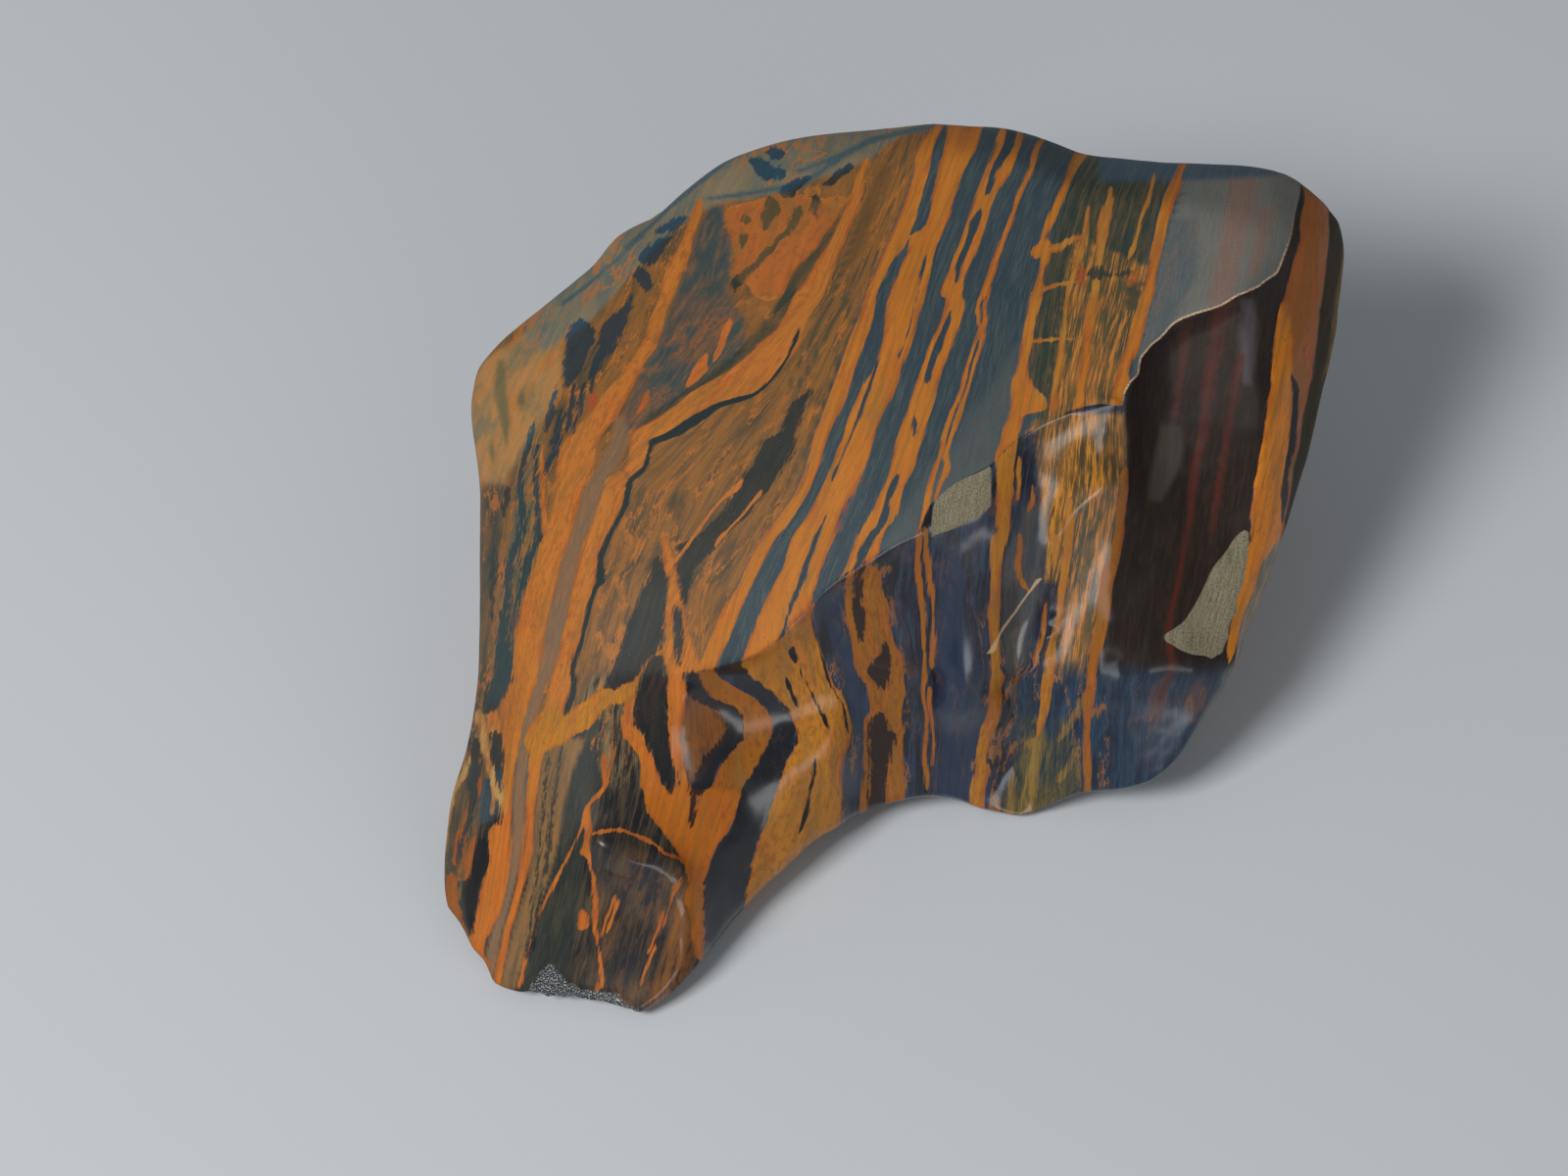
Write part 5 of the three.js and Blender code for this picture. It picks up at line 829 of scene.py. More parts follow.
PUSH_UP = 0.5  # the bands wander half as far up as across
VEIN_BEND = (6.0, 3.0)  # how far the two wandering noises bend the veins, in millimetres
VEIN_STRETCH = (1.0, 0.26, 0.6)  # the net of veins is drawn out along the bands
VEIN_SCALE = 0.36  # cells of the net for each millimetre
VEIN_STRENGTH = 0.75
DULL_LINES = (0.5, 0.35)  # strength of the dull bands: on the lines, and everywhere
SCRATCH_STRENGTH = 0.42
SCRATCH_OCHRE = 0.35  # share of ochre in the dark tone of the scratches
SHADE_STRENGTH = 0.92
SHADE_RAGGED = 1.6  # the shades' edges are this much more ragged than those of the bands
FLECK_FEATHER = 2.0  # how far the flecks eat into the shades, as a share of the setting
CHIP_STRENGTH = 0.85
CHIP_WANDER = 3.0  # how far the chip's edge wanders, in millimetres

# The polish: roughness that the ochre and the streaks add, the matt faces, the coat, the bump.
OCHRE_ROUGHNESS = 0.08
STREAK_ROUGHNESS = 0.18
MATT_ROUGHNESS = 0.6
COAT = 0.7  # clear polish over the dark ground
COAT_ON_OCHRE = -0.42  # what the ochre takes from it
COAT_IOR = 1.5
COAT_ROUGHNESS = 0.2
BUMP_STRENGTH = 0.3
BUMP_DEPTH = 0.1 * MM
BUMP_HAIRS = 0.45  # height of the hairlines, as a share of that depth

END_REACH = 0.7  # how far a ribbon's point runs past its last row
END_CLOSE = 0.7  # how far its two edges have crossed at that point
ZONE_END = 0.3  # how far a zone runs past its last row

JOIN_DISTANCE = 1e-6  # loose corners closer than this, in metres, are one
TINY = 1e-30  # keeps a division by the length of an empty normal possible
# Loop's weights for a new point on an edge, and for an old point among its neighbours.
LOOP_MIDDLE = 0.75
LOOP_APEX = 0.125
LOOP_VERTEX = (0.625, 0.375, 0.25)

# The stage, in metres.
FLOOR_HALF = 3.0
FLOOR_ROUGHNESS = 0.8
LIGHTS = (
    ("key light", "key_power", (0.3, 0.3), (-0.48, -0.36, 0.68)),
    ("fill light", "fill_power", (0.7, 0.26), (0.38, -0.74, 0.18)),
)
ROOM_COLOUR = (0.9, 0.95, 1.0, 1.0)
SENSOR_WIDTH = 36.0  # millimetres


def linear(colour):
    """A display colour of 0 to 255 as scene-linear red, green, blue, alpha."""
    out = []
    for value in colour[:3]:
        c = value / 255
        out.append(c / 12.92 if c <= 0.04045 else ((c + 0.055) / 1.055) ** 2.4)
    return (*out, 1.0)


# ---------------------------------------------------------------- sheet


def sheet_of(points):
    """Sheet x, y and lift toward the eye, in millimetres, of an array of points in metres."""
    across = points[:, 0] / MM - ORIGIN[0]
    level = points[:, 1] / MM - ORIGIN[1]
    height = points[:, 2] / MM - ORIGIN[2]
    up = level * math.cos(LEAN) + height * math.sin(LEAN)
    lift = height * math.cos(LEAN) - level * math.sin(LEAN)
    spread = (EYE - lift) / EYE
    return np.stack([across / spread, up / spread, lift], axis=1)


def eye_point():
    """The eye point in the stone's frame, in metres."""
    x, y, z = ORIGIN
    return Vector((x, y - EYE * math.sin(LEAN), z + EYE * math.cos(LEAN))) * MM


def path_distance(path, x, y):
    """Distance to a path of points, and which places lie on the left of its nearest line."""
    best = np.full(len(x), FAR)
    left = np.zeros(len(x), bool)
    for (ax, ay), (bx, by) in zip(path[:-1], path[1:]):
        dx, dy = bx - ax, by - ay
        t = np.clip(((x - ax) * dx + (y - ay) * dy) / (dx * dx + dy * dy), 0, 1)
        near = np.hypot(x - ax - t * dx, y - ay - t * dy)
        left = np.where(near < best, dx * (y - ay) - dy * (x - ax) > 0, left)
        best = np.minimum(best, near)
    return best, left


def ridge_side(x, y):
    """Distance from the main ridge, in millimetres: over 0 on the front, below 0 above it."""
    path = np.array(FOOT_LINE + RIDGE, float)
    far, _ = path_distance(path, x, y)
    ring = np.concatenate([path, np.array(FRONT_CORNERS, float)])
    front = np.zeros(len(x), bool)
    for (ax, ay), (bx, by) in zip(ring, np.roll(ring, -1, axis=0)):
        if ay != by:
            front ^= ((ay > y) != (by > y)) & (x < ax + (y - ay) * (bx - ax) / (by - ay))
    return np.where(front, far, -far)


def inside(rows, way, x, y):
    """Distance inside a zone or ribbon, in millimetres, below 0 outside it."""
    table = np.array(rows, float)
    along, across = (y, x) if way == "up" else (x, y)
    low = np.interp(along, table[:, 0], table[:, 1])
    high = np.interp(along, table[:, 0], table[:, 2])
    side = np.minimum(across - low, high - across)
    ends = np.minimum(along - table[0, 0], table[-1, 0] - along)
    return np.minimum(side, ends + ZONE_END)


def cover(rows, way, x, y, edge):
    """Share of a zone or band at each place, with a soft edge of a given width around its line."""
    return np.clip(inside(rows, way, x, y) / edge + 0.5, 0, 1)


def bands(family, sides=SIDES):
    """Name, way and rows of each band of a family on the given sides of the ridge."""
    for (kind, side, way), group in RIBBONS.items():
        if kind == family and side in sides:
            for name, rows in group.items():
                yield name, way, rows


def layer_of(x, y):
    """A measure across the bands that stays the same along each of them, in millimetres."""
    heights = np.array(LAYER_HEIGHTS[::-1], float)
    lines = np.array([np.interp(y, heights, np.array(row[::-1], float)) for row in LAYERS])
    marks = [row[LAYER_HEIGHTS.index(MARK_HEIGHT)] for row in LAYERS]
    out = marks[0] + (x - lines[0])
    for k in range(len(LAYERS) - 1):
        share = (x - lines[k]) / np.maximum(lines[k + 1] - lines[k], LEAST_GAP)
        out = np.where(x >= lines[k], marks[k] + share * (marks[k + 1] - marks[k]), out)
    return np.where(x >= lines[-1], marks[-1] + (x - lines[-1]), out)


# ---------------------------------------------------------------- mesh


def cad_mesh(node):
    """Points and triangles of a CAD node, with its loose triangles joined."""
    work = bmesh.new()
    work.from_mesh(node.data)
    bmesh.ops.remove_doubles(work, verts=work.verts, dist=JOIN_DISTANCE)
    bmesh.ops.triangulate(work, faces=work.faces)
    work.verts.index_update()
    points = np.array([v.co[:] for v in work.verts])
    faces = np.array([[v.index for v in f.verts] for f in work.faces])
    work.free()
    return points, faces


def edge_keys(faces, count):
    """A number for each edge of each triangle: all the first edges, the second, then the third."""
    pairs = np.concatenate([faces[:, [0, 1]], faces[:, [1, 2]], faces[:, [2, 0]]])
    pairs = np.sort(pairs, axis=1)
    return pairs[:, 0].astype(np.int64) * count + pairs[:, 1]


def face_normals(points, faces):
    """Normals of the triangles, as long as twice their areas."""
    a, b, c = (points[faces[:, k]] for k in range(3))
    return np.cross(b - a, c - a)


def unit(vectors):
    """The same vectors with a length of 1."""
    return vectors / np.maximum(np.linalg.norm(vectors, axis=1), TINY)[:, None]


def vertex_normals(points, faces):
    """Unit normals of the points, weighted by face area."""
    side = face_normals(points, faces)
    out = np.zeros_like(points)
    for k in range(3):
        np.add.at(out, faces[:, k], side)
    return unit(out)


def sharp_edges(points, faces, angle):
    """Keys of the edges whose two faces turn by more than an angle."""
    side = unit(face_normals(points, faces))
    keys = edge_keys(faces, len(points))
    owner = np.tile(np.arange(len(faces)), 3)
    order = np.argsort(keys, kind="stable")
    keys, owner = keys[order], owner[order]
    turn = np.einsum("ij,ij->i", side[owner[0::2]], side[owner[1::2]])
    return keys[0::2][turn < math.cos(angle)]


def around(points, ends):
    """Sum and number of each point's neighbours along the given edges."""
    total = np.zeros((len(points), 3))
    number = np.zeros(len(points))
    for a, b in ((0, 1), (1, 0)):
        np.add.at(total, ends[:, a], points[ends[:, b]])
        np.add.at(number, ends[:, a], 1)
    return total, number


def refine(points, faces, crease):
    """One step of Loop subdivision. The edges whose keys are in crease stay firm."""
    count = len(points)
    unique, index = np.unique(edge_keys(faces, count), return_inverse=True)
    ends = np.stack([unique // count, unique % count], axis=1)
    firm = np.isin(unique, crease)

    apex = np.concatenate([faces[:, 2], faces[:, 0], faces[:, 1]])
    far = np.zeros((len(unique), 3))
    np.add.at(far, index, points[apex])
    middle = (points[ends[:, 0]] + points[ends[:, 1]]) / 2
    added = np.where(firm[:, None], middle, LOOP_MIDDLE * middle + LOOP_APEX * far)

    total, number = around(points, ends)
    first, second, third = LOOP_VERTEX
    weight = (first - (second + third * np.cos(2 * np.pi / number)) ** 2) / number
    moved = points * (1 - number * weight)[:, None] + total * weight[:, None]
    firm_total, firm_number = around(points, ends[firm])
    on_line = firm_number == 2
    moved[on_line] = LOOP_MIDDLE * points[on_line] + LOOP_APEX * firm_total[on_line]
    corner = firm_number > 2
    moved[corner] = points[corner]

    ab, bc, ca = index.reshape(3, -1) + count
    a, b, c = faces.T
    quarters = ((a, ab, ca), (ab, b, bc), (ca, bc, c), (ab, bc, ca))
    new = np.concatenate([np.stack(corners, axis=1) for corners in quarters])
    return np.concatenate([moved, added]), new


def calm(points, faces, share):
    """Evens out bumps: each point moves toward the middle of its neighbours, by its share."""
    pairs = np.concatenate([faces[:, [0, 1]], faces[:, [1, 2]], faces[:, [2, 0]]])
    count = np.bincount(pairs[:, 0], minlength=len(points))
    for _ in range(CALM_ROUNDS):
        total = np.zeros_like(points)
        np.add.at(total, pairs[:, 0], points[pairs[:, 1]])
        points = points + share[:, None] * (total / count[:, None] - points)
    return points


def calm_share(x, y, deep):
    """How much each point of the near face is evened out."""
    share = np.zeros(len(x))
    for spot_x, spot_y, reach in CALM:
        share = np.maximum(share, np.exp(-(((x - spot_x) ** 2 + (y - spot_y) ** 2) / reach**2)))
    return np.where(deep < NEAR_SKIN, share, 0)


def depths(points, faces):
    """How far each point lies behind the stone's near face, seen from the eye point."""
    tree = BVHTree.FromPolygons([tuple(p) for p in points], [tuple(f) for f in faces])
    eye = eye_point()
    out = np.zeros(len(points))
    for k, p in enumerate(points):
        way = Vector(p) - eye
        far = way.length
        hit = tree.ray_cast(eye, way / far)
        if hit[3] is not None:
            out[k] = max(0.0, (far - hit[3]) / MM - DEPTH_SLACK)
    return out


# ---------------------------------------------------------------- relief


def fog(points, kind):
    """Soft noise at each point, given in metres, with the height that its kind has."""
    height, scale, seed, octaves = kind
    shift = Vector([step * seed for step in SEED_STEPS])
    places = [Vector(p) * scale + shift for p in points / MM]
    values = [noise.fractal(place, OCTAVE_FADE, OCTAVE_STEP, octaves) for place in places]
    return height * np.array(values)


def crest(x, y, height, left_reach, right_reach, path):
    """Height of a raised line over the skin, in millimetres."""
    far, left = path_distance(path, x, y)
    reach = np.where(left, left_reach, right_reach)
    ends = [np.hypot(x - end[0], y - end[1]) for end in (path[0], path[-1])]
    fade = np.clip(np.minimum(*ends) / (2 * min(left_reach, right_reach)) + CREST_END, 0, 1)
    return height * fade * np.exp(-((far / reach) ** 2))


def relief(points, x, y, side, deep):
    """How far each point of the skin is raised, in millimetres."""
    near = deep < NEAR_SKIN
    front = np.clip(side / FRONT_FADE, 0, 1)
    out = front * fog(points, RIPPLE) + fog(points, WAVES)
    for _, *form in CRESTS:
        out += near * crest(x, y, *form)
    for family, raised in (
        ("ochre", BAND_RISE * front),
        ("chip", fog(points, HACKLE) - CHIP_DROP),
    ):
        for _, way, rows in bands(family):
            out += near * cover(rows, way, x, y, BAND_SLOPE) * raised
    return out


# ---------------------------------------------------------------- tones


def paint(layers, look, share):
    """Lays the parts of a look over the layers, by a share for each point."""
    for key, value in zip(LOOK_PARTS, look):
        if value is not None:
            tone = np.array(linear(value) if key in COLOUR_PARTS else [value])
            layers[key] += share[:, None] * (tone - layers[key])


def tones(x, y, where_now):
    """The tones and shares of the looks, laid over one another for each point of one side."""
    layers = {key: np.zeros((len(x), 4 if key in COLOUR_PARTS else 1)) for key in LOOK_PARTS}
    paint(layers, BASE_LOOKS[where_now], np.ones(len(x)))
    for _, where, kind, way, rows in ZONES:
        if where in ("any", where_now):
            *look, edge = ZONE_LOOKS[kind]
            share = cover(rows, way, x, y, edge)
            paint(layers, look, share * share * (3 - 2 * share))
    for name, way, rows in bands("ochre", ("any", where_now)):
        if name in RIBBON_TONES:
            share = np.clip(inside(rows, way, x, y) / OCHRE_FADE + OCHRE_REACH, 0, 1)
            look = [OCHRES[RIBBON_TONES[name]] if key == "ochre" else None for key in LOOK_PARTS]
            paint(layers, look, share)
    return layers


def skin_attributes(x, y, side, deep):
    """Attributes of the skin's points: name, kind of attribute, name of its value, values."""
    found = [
        ("sheet", "FLOAT_VECTOR", "vector", np.stack([x, y, deep], axis=1)),
        ("grain", "FLOAT_VECTOR", "vector", np.stack([layer_of(x, y), y, deep], axis=1)),
    ]
    painted = []
    for where in BASE_LOOKS:
        layers = tones(x, y, where)
        shares = [layers[key] for key in ("streak_share", "mottle_share", "roughness")]
        shares = np.concatenate(shares, axis=1)
        found.append((f"shares_{where}", "FLOAT_VECTOR", "vector", shares))
        for key in COLOUR_PARTS:
            painted.append((f"{key}_{where}", "FLOAT_COLOR", "color", layers[key]))
    return [*found, ("side", "FLOAT", "value", side), *painted]


# ---------------------------------------------------------------- nodes


class Wires:
    """Adds nodes to a tree and joins them."""

    def __init__(self, tree):
        self.tree = tree

    def node(self, kind, **settings):
        made = self.tree.nodes.new(kind)
        for key, value in settings.items():
            setattr(made, key, value)
        return made

    def join(self, source, target):
        """Links an output, or sets a constant."""
        if hasattr(source, "is_output"):
            self.tree.links.new(source, target)
        else:
            target.default_value = source

    def made_of(self, kind, values, **settings):
        """The first output of a new node, whose first inputs take the values."""
        made = self.node(kind, **settings)
        for value, target in zip(values, made.inputs):
            self.join(value, target)
        return made.outputs[0]

    def math(self, operation, *values):
        return self.made_of("ShaderNodeMath", values, operation=operation)

    def vector(self, operation, *values):
        return self.made_of("ShaderNodeVectorMath", values, operation=operation)

    def combine(self, x, y, z):
        return self.made_of("ShaderNodeCombineXYZ", (x, y, z))

    def separate(self, value):
        made = self.node("ShaderNodeSeparateXYZ")
        self.join(value, made.inputs[0])
        return made.outputs

    def weighed(self, start, *terms):
        """The start value plus each term's value times its weight."""
        total = start
        for value, weight in terms:
            total = self.math("MULTIPLY_ADD", value, weight, total)
        return total

    def scaled(self, colour, amount):
        made = self.node("ShaderNodeVectorMath", operation="SCALE")
        self.join(colour, made.inputs[0])
        self.join(amount, made.inputs["Scale"])
        return made.outputs[0]

    def attribute(self, name, output):
        return self.node("ShaderNodeAttribute", attribute_name=name).outputs[output]

    def noise(self, place, scale, detail, roughness):
        made = self.node("ShaderNodeTexNoise")
        self.join(place, made.inputs["Vector"])
        made.inputs["Scale"].default_value = scale
        made.inputs["Detail"].default_value = detail
        made.inputs["Roughness"].default_value = roughness
        return made.outputs[0]

    def cracks(self, place, scale):
        """Distance to the nearest edge of a net of cells."""
        made = self.node("ShaderNodeTexVoronoi", feature="DISTANCE_TO_EDGE")
        self.join(place, made.inputs["Vector"])
        made.inputs["Scale"].default_value = scale
        return made.outputs["Distance"]

    def ramp(self, value, start, full):
        """0 up to start and 1 from full on. Start may be the higher of the two."""
        made = self.node("ShaderNodeMapRange", interpolation_type="SMOOTHSTEP")
        rising = start < full
        self.join(value, made.inputs["Value"])
        made.inputs["From Min"].default_value = min(start, full)
        made.inputs["From Max"].default_value = max(start, full)
        made.inputs["To Min"].default_value = 0.0 if rising else 1.0
        made.inputs["To Max"].default_value = 1.0 if rising else 0.0
        return made.outputs[0]

    def mix(self, share, low, high):
        """One colour laid over another by a share."""
        made = self.node("ShaderNodeMix", data_type="RGBA")
        for value, slot in ((share, 0), (low, 6), (high, 7)):
            self.join(value, made.inputs[slot])
        return made.outputs[2]

    def blend(self, share, low, high):
        """One number laid over another by a share."""
        made = self.node("ShaderNodeMix", data_type="FLOAT")
        for value, slot in ((share, 0), (low, 2), (high, 3)):
            self.join(value, made.inputs[slot])
        return made.outputs[0]


def ribbon_curves(wires, rows, place, before):
    """A curves node that turns a place along the ribbon into minus its low edge and its high edge.

    Its factor is 1 and hangs on the ribbon before, so that the ribbons are worked out in turn.
    """
    made = wires.node("ShaderNodeVectorCurve")
    mapping = made.mapping
    mapping.use_clip = False
    mapping.extend = "HORIZONTAL"
    first, last = rows[0], rows[-1]
    start = (first[1] + first[2]) / 2
    stop = (last[1] + last[2]) / 2
    table = [(first[0] - END_REACH, start + END_CLOSE, start - END_CLOSE)]
    table += list(rows)
    table += [(last[0] + END_REACH, stop + END_CLOSE, stop - END_CLOSE)]
    for k, sign in ((0, -1), (1, 1)):
        curve = mapping.curves[k]
        values = [(row[0], sign * row[1 + k]) for row in table]
        curve.points[0].location = values[0]
        curve.points[1].location = values[-1]
        for value in values[1:-1]:
            curve.points.new(*value)
        for point in curve.points:
            point.handle_type = "AUTO_CLAMPED"
    flat = mapping.curves[2]
    flat.points[0].location = (table[0][0], 0.0)
    flat.points[1].location = (table[-1][0], 0.0)
    mapping.update()
    wires.join(place, made.inputs["Vector"])
    if before is not None:
        wires.join(wires.math("GREATER_THAN", before, -FAR), made.inputs["Fac"])
    return made.outputs[0]


def ribbon_group(name, ribbons):
    """A node group that gives the greatest distance inside any of its ribbons."""
    tree = bpy.data.node_groups.new(name, "ShaderNodeTree")
    for key in ("x", "y"):
        tree.interface.new_socket(key, in_out="INPUT", socket_type="NodeSocketFloat")
    tree.interface.new_socket("inside", in_out="OUTPUT", socket_type="NodeSocketFloat")
    wires = Wires(tree)
    given = wires.node("NodeGroupInput")
    x, y = given.outputs["x"], given.outputs["y"]
    sides = {}
    for way, along, across in (("up", y, x), ("level", x, y)):
        minus = wires.math("MULTIPLY", across, -1.0)
        sides[way] = (wires.combine(along, along, along), wires.combine(across, minus, 0.0))
    best = None
    for _, way, rows in ribbons:
        place, across = sides[way]
        edges = ribbon_curves(wires, rows, place, best)
        gaps = wires.separate(wires.vector("ADD", edges, across))
        reach = wires.math("MINIMUM", gaps[0], gaps[1])
        best = reach if best is None else wires.math("MAXIMUM", best, reach)
    taken = wires.node("NodeGroupOutput")
    wires.join(best, taken.inputs["inside"])
    return tree


class Skin:
    """The markings of the stone, each laid over a colour that is handed on.

    Shares and tones that a later marking or the polish needs are kept as they come up.
    """

    def __init__(self, tree, settings):
        w = self.wires = Wires(tree)
        self.settings = settings
        self.edge = settings.edge / MM
        self.place = w.attribute("sheet", "Vector")
        self.grain = w.attribute("grain", "Vector")
        self.side = w.attribute("side", "Fac")
        self.front = self.show(self.side, "front")
        self.tints = {key: self.two_sided(key, "Color") for key in COLOUR_PARTS}
        shares = w.separate(self.two_sided("shares", "Vector"))
        self.fields = dict(zip(("streak_share", "mottle_share", "roughness"), shares))
        for name, (stretch, *form) in NOISES.items():
            place = w.vector("MULTIPLY", self.grain, stretch) if stretch else self.place
            self.fields[name] = w.noise(place, *form)
        self.lines = self.show(self.sum("lines"), "lines")
        self.shade = self.sum("shade")
        self.wander = self.centred("wander")
        self.shake = self.centred("shake")

        # the edges of the bands wander a little, in lumps that are long along the bands
        self.still = w.separate(self.place)
        pushes = ((self.wander, settings.wander / MM), (self.shake, settings.shake / MM))
        push = w.weighed(0.0, *pushes)
        self.moved = (
            w.math("ADD", self.still[0], push),
            w.weighed(self.still[1], (push, PUSH_UP)),
        )
        ragged, feather = settings.ragged / MM, settings.feather / MM
        streaks = ((self.fields["streaks"], ragged), (self.fields["hairs"], feather))
        self.ragged = w.weighed(-NOISE_MIDDLE * (ragged + feather), *streaks)

    def two_sided(self, name, output):
        """An attribute that has its own values on the broad face and on the front."""
        broad, front = (self.wires.attribute(f"{name}_{side}", output) for side in BASE_LOOKS)
        return self.wires.mix(self.front, broad, front)

    def show(self, value, name):
        """The share of a marking, between its two limits on the value."""
        return self.wires.ramp(value, *LIMITS[name])

    def centred(self, name):
        """A noise with its middle moved to 0."""
        return self.wires.math("SUBTRACT", self.fields[name], NOISE_MIDDLE)

    def sum(self, name):
        """One of the sums of the noises and of the zones' shares."""
        start, weights = SUMS[name]
        terms = [(self.fields[field], weight) for field, weight in weights.items()]
        return self.wires.weighed(start, *terms)

    def lay(self, colour, share, name):
        """Lays a finish over the colour."""
        tone, strength = FINISHES[name]
        if strength < 1:
            share = self.wires.math("MULTIPLY", share, strength)
        return self.wires.mix(share, colour, linear(tone))

    def reach(self, family, place):
        """The distance inside a family's ribbons, each kept to its own side of the main ridge."""
        w = self.wires
        best = None
        for where in SIDES:
            found = list(bands(family, (where,)))
            if not found:
                continue
            made = w.node("ShaderNodeGroup")
            made.node_tree = ribbon_group(f"{family} {where}", found)
            for key, value in zip("xy", place):
                w.join(value, made.inputs[key])
            reach = made.outputs["inside"]
            if where == "broad":
                reach = w.math("MINIMUM", reach, w.math("MULTIPLY", self.side, -1.0))
            elif where == "front":
                reach = w.math("MINIMUM", reach, self.side)
            best = reach if best is None else w.math("MAXIMUM", best, reach)
        return best

    def band(self, family, ragged):
        """Distance inside a family of bands, with ragged edges, and the share that it covers."""
        reach = self.reach(family, self.moved)
        if ragged:
            reach = self.wires.weighed(reach, (self.ragged, ragged))
        edge = self.edge * BAND_EDGES[family]
        return reach, self.wires.ramp(reach, -edge, edge)

    def ground(self):
        """The ground between the bands, with streaks along them and mottling."""
        w, fields, tints = self.wires, self.fields, self.tints
        streaked = w.math("MULTIPLY", self.lines, fields["streak_share"])
        colour = w.mix(streaked, tints["ground"], tints["streak"])
        mottled = w.math("MULTIPLY", self.show(fields["blotches"], "mottle"), fields["mottle_share"])
        colour = w.mix(mottled, colour, tints["streak"])
        return w.scaled(colour, self.shade)

    def veins(self, colour):
        """Hairline veins of ochre where the ground is mottled."""
        w, fields = self.wires, self.fields
        bend = [w.math("MULTIPLY", *pair) for pair in zip((self.wander, self.shake), VEIN_BEND)]
        bent = w.vector("ADD", self.grain, w.combine(*bend, 0.0))
        vein = self.show(w.cracks(w.vector("MULTIPLY", bent, VEIN_STRETCH), VEIN_SCALE), "vein")
        vein = w.math("MULTIPLY", vein, self.show(fields["blotches"], "vein_blotch"))
        vein = w.math("MULTIPLY", vein, self.show(fields["mottle_share"], "vein_mottle"))
        return w.mix(w.math("MULTIPLY", vein, VEIN_STRENGTH), colour, self.tints["ochre"])

    def dull_bands(self, colour):
        """Faint bands that show most on the streaks."""
        _, share = self.band("dull", 1.0)
        on_lines, everywhere = DULL_LINES
        strength = self.wires.weighed(everywhere, (self.lines, on_lines))
        return self.lay(colour, self.wires.math("MULTIPLY", share, strength), "dull")

    def ochre_bands(self, colour):
        """The ochre bands, with rusty blotches, scratches, faded streaks and red rims."""
        w, fields, tints = self.wires, self.fields, self.tints
        reach, self.ochre = self.band("ochre", 1.0)
        warm = self.lay(tints["ochre"], self.show(fields["blotches"], "rust"), "rust")
        self.warm = w.scaled(warm, self.sum("light"))
        scratches = [self.show(self.sum(name), name) for name in ("scratch", "fleck")]
        marked = w.math("MULTIPLY", w.math("MAXIMUM", *scratches), SCRATCH_STRENGTH)
        lined = w.mix(marked, self.warm, w.mix(SCRATCH_OCHRE, tints["dark"], tints["ochre"]))
        lined = self.lay(lined, self.show(fields["streaks"], "faded"), "faded")
        rim = w.math("MULTIPLY", self.show(reach, "rim"), self.show(fields["blotches"], "rim_blotch"))
        return w.mix(self.ochre, colour, self.lay(lined, rim, "rim"))

    def dark_bands(self, colour):
        """The dark bands, and the darker shades with feathered edges."""
        w = self.wires
        _, self.dark = self.band("dark", -1.0)
        tone = w.scaled(self.tints["dark"], self.shade)
        colour = w.mix(self.dark, colour, tone)
        feather = FLECK_FEATHER * self.settings.feather / MM
        eaten = w.weighed(self.ragged, (self.centred("flecks"), feather))
        reach = w.weighed(self.reach("shade", self.moved), (eaten, -SHADE_RAGGED))
        edge = self.edge * BAND_EDGES["shade"]
        share = w.math("MULTIPLY", w.ramp(reach, -edge, edge), SHADE_STRENGTH)
        return w.mix(share, colour, tone)

    def glints(self, colour):
        """Painted glints: small pale specks in the dark ground that stand in for sparkles of light on the
        ore.
        """
        w, fields = self.wires, self.fields
        glint = self.show(fields["glints"], "glint")
        glint = w.math("MULTIPLY", glint, self.show(fields["blotches"], "glint_blotch"))
        ground = w.math("MAXIMUM", self.dark, fields["mottle_share"])
        return self.lay(colour, w.math("MULTIPLY", glint, ground), "glint")

    def threads(self, colour):
        """Thin ochre threads."""
        _, hair = self.band("hair", -1.0)
        return self.wires.mix(hair, colour, self.warm)

    def pale_faces(self, colour):
        """The matt pale faces, whose lighter olive-grey colour is a painted reflection of bright light in
        flat facets.
        """
        w = self.wires
        self.pale = self.show(self.reach("pale", self.still), "pale")
        rows = self.show(self.sum("pale_rows"), "pale_rows")
        return w.mix(self.pale, colour, w.mix(rows, *map(linear, PALE_TONES)))

    def cream_bands(self, colour):
        """Milky bands."""
        _, cream = self.band("cream", 0.0)
        return self.lay(colour, cream, "cream")

    def broken_tip(self, colour):
        """The crumbled chip at the foot's tip."""
        w = self.wires
        reach = w.weighed(self.reach("chip", self.still), (self.wander, CHIP_WANDER))
        self.chip = self.show(reach, "chip")
        crumbs = self.show(self.fields["crumbs"], "crumbs")
        share = w.math("MULTIPLY", self.chip, CHIP_STRENGTH)
        return w.mix(share, colour, w.mix(crumbs, *map(linear, CHIP_TONES)))

    def painted_ridge_highlight(self, colour):
        """A painted highlight: a pale line along the right part of the main ridge, where its edge catches
        the light.
        """
        w = self.wires
        ridge_highlight = self.show(w.math("ABSOLUTE", self.side), "ridge_highlight")
        for name in ("ridge_highlight_left", "ridge_highlight_right"):
            ridge_highlight = w.math("MULTIPLY", ridge_highlight, self.show(self.still[0], name))
        ridge_highlight = w.math("MULTIPLY", ridge_highlight, self.show(self.fields["specks"], "ridge_highlight_specks"))
        return self.lay(colour, ridge_highlight, "ridge_highlight")

    def roughness(self):
        """How rough the skin is: a little more on the ochre, and matt on the pale faces and on the broken
        tip.
        """
        w = self.wires
        rough = w.weighed(self.fields["roughness"], (self.ochre, OCHRE_ROUGHNESS))
        rough = w.blend(w.math("MAXIMUM", self.pale, self.chip), rough, MATT_ROUGHNESS)
        return w.weighed(rough, (self.centred("streaks"), STREAK_ROUGHNESS))

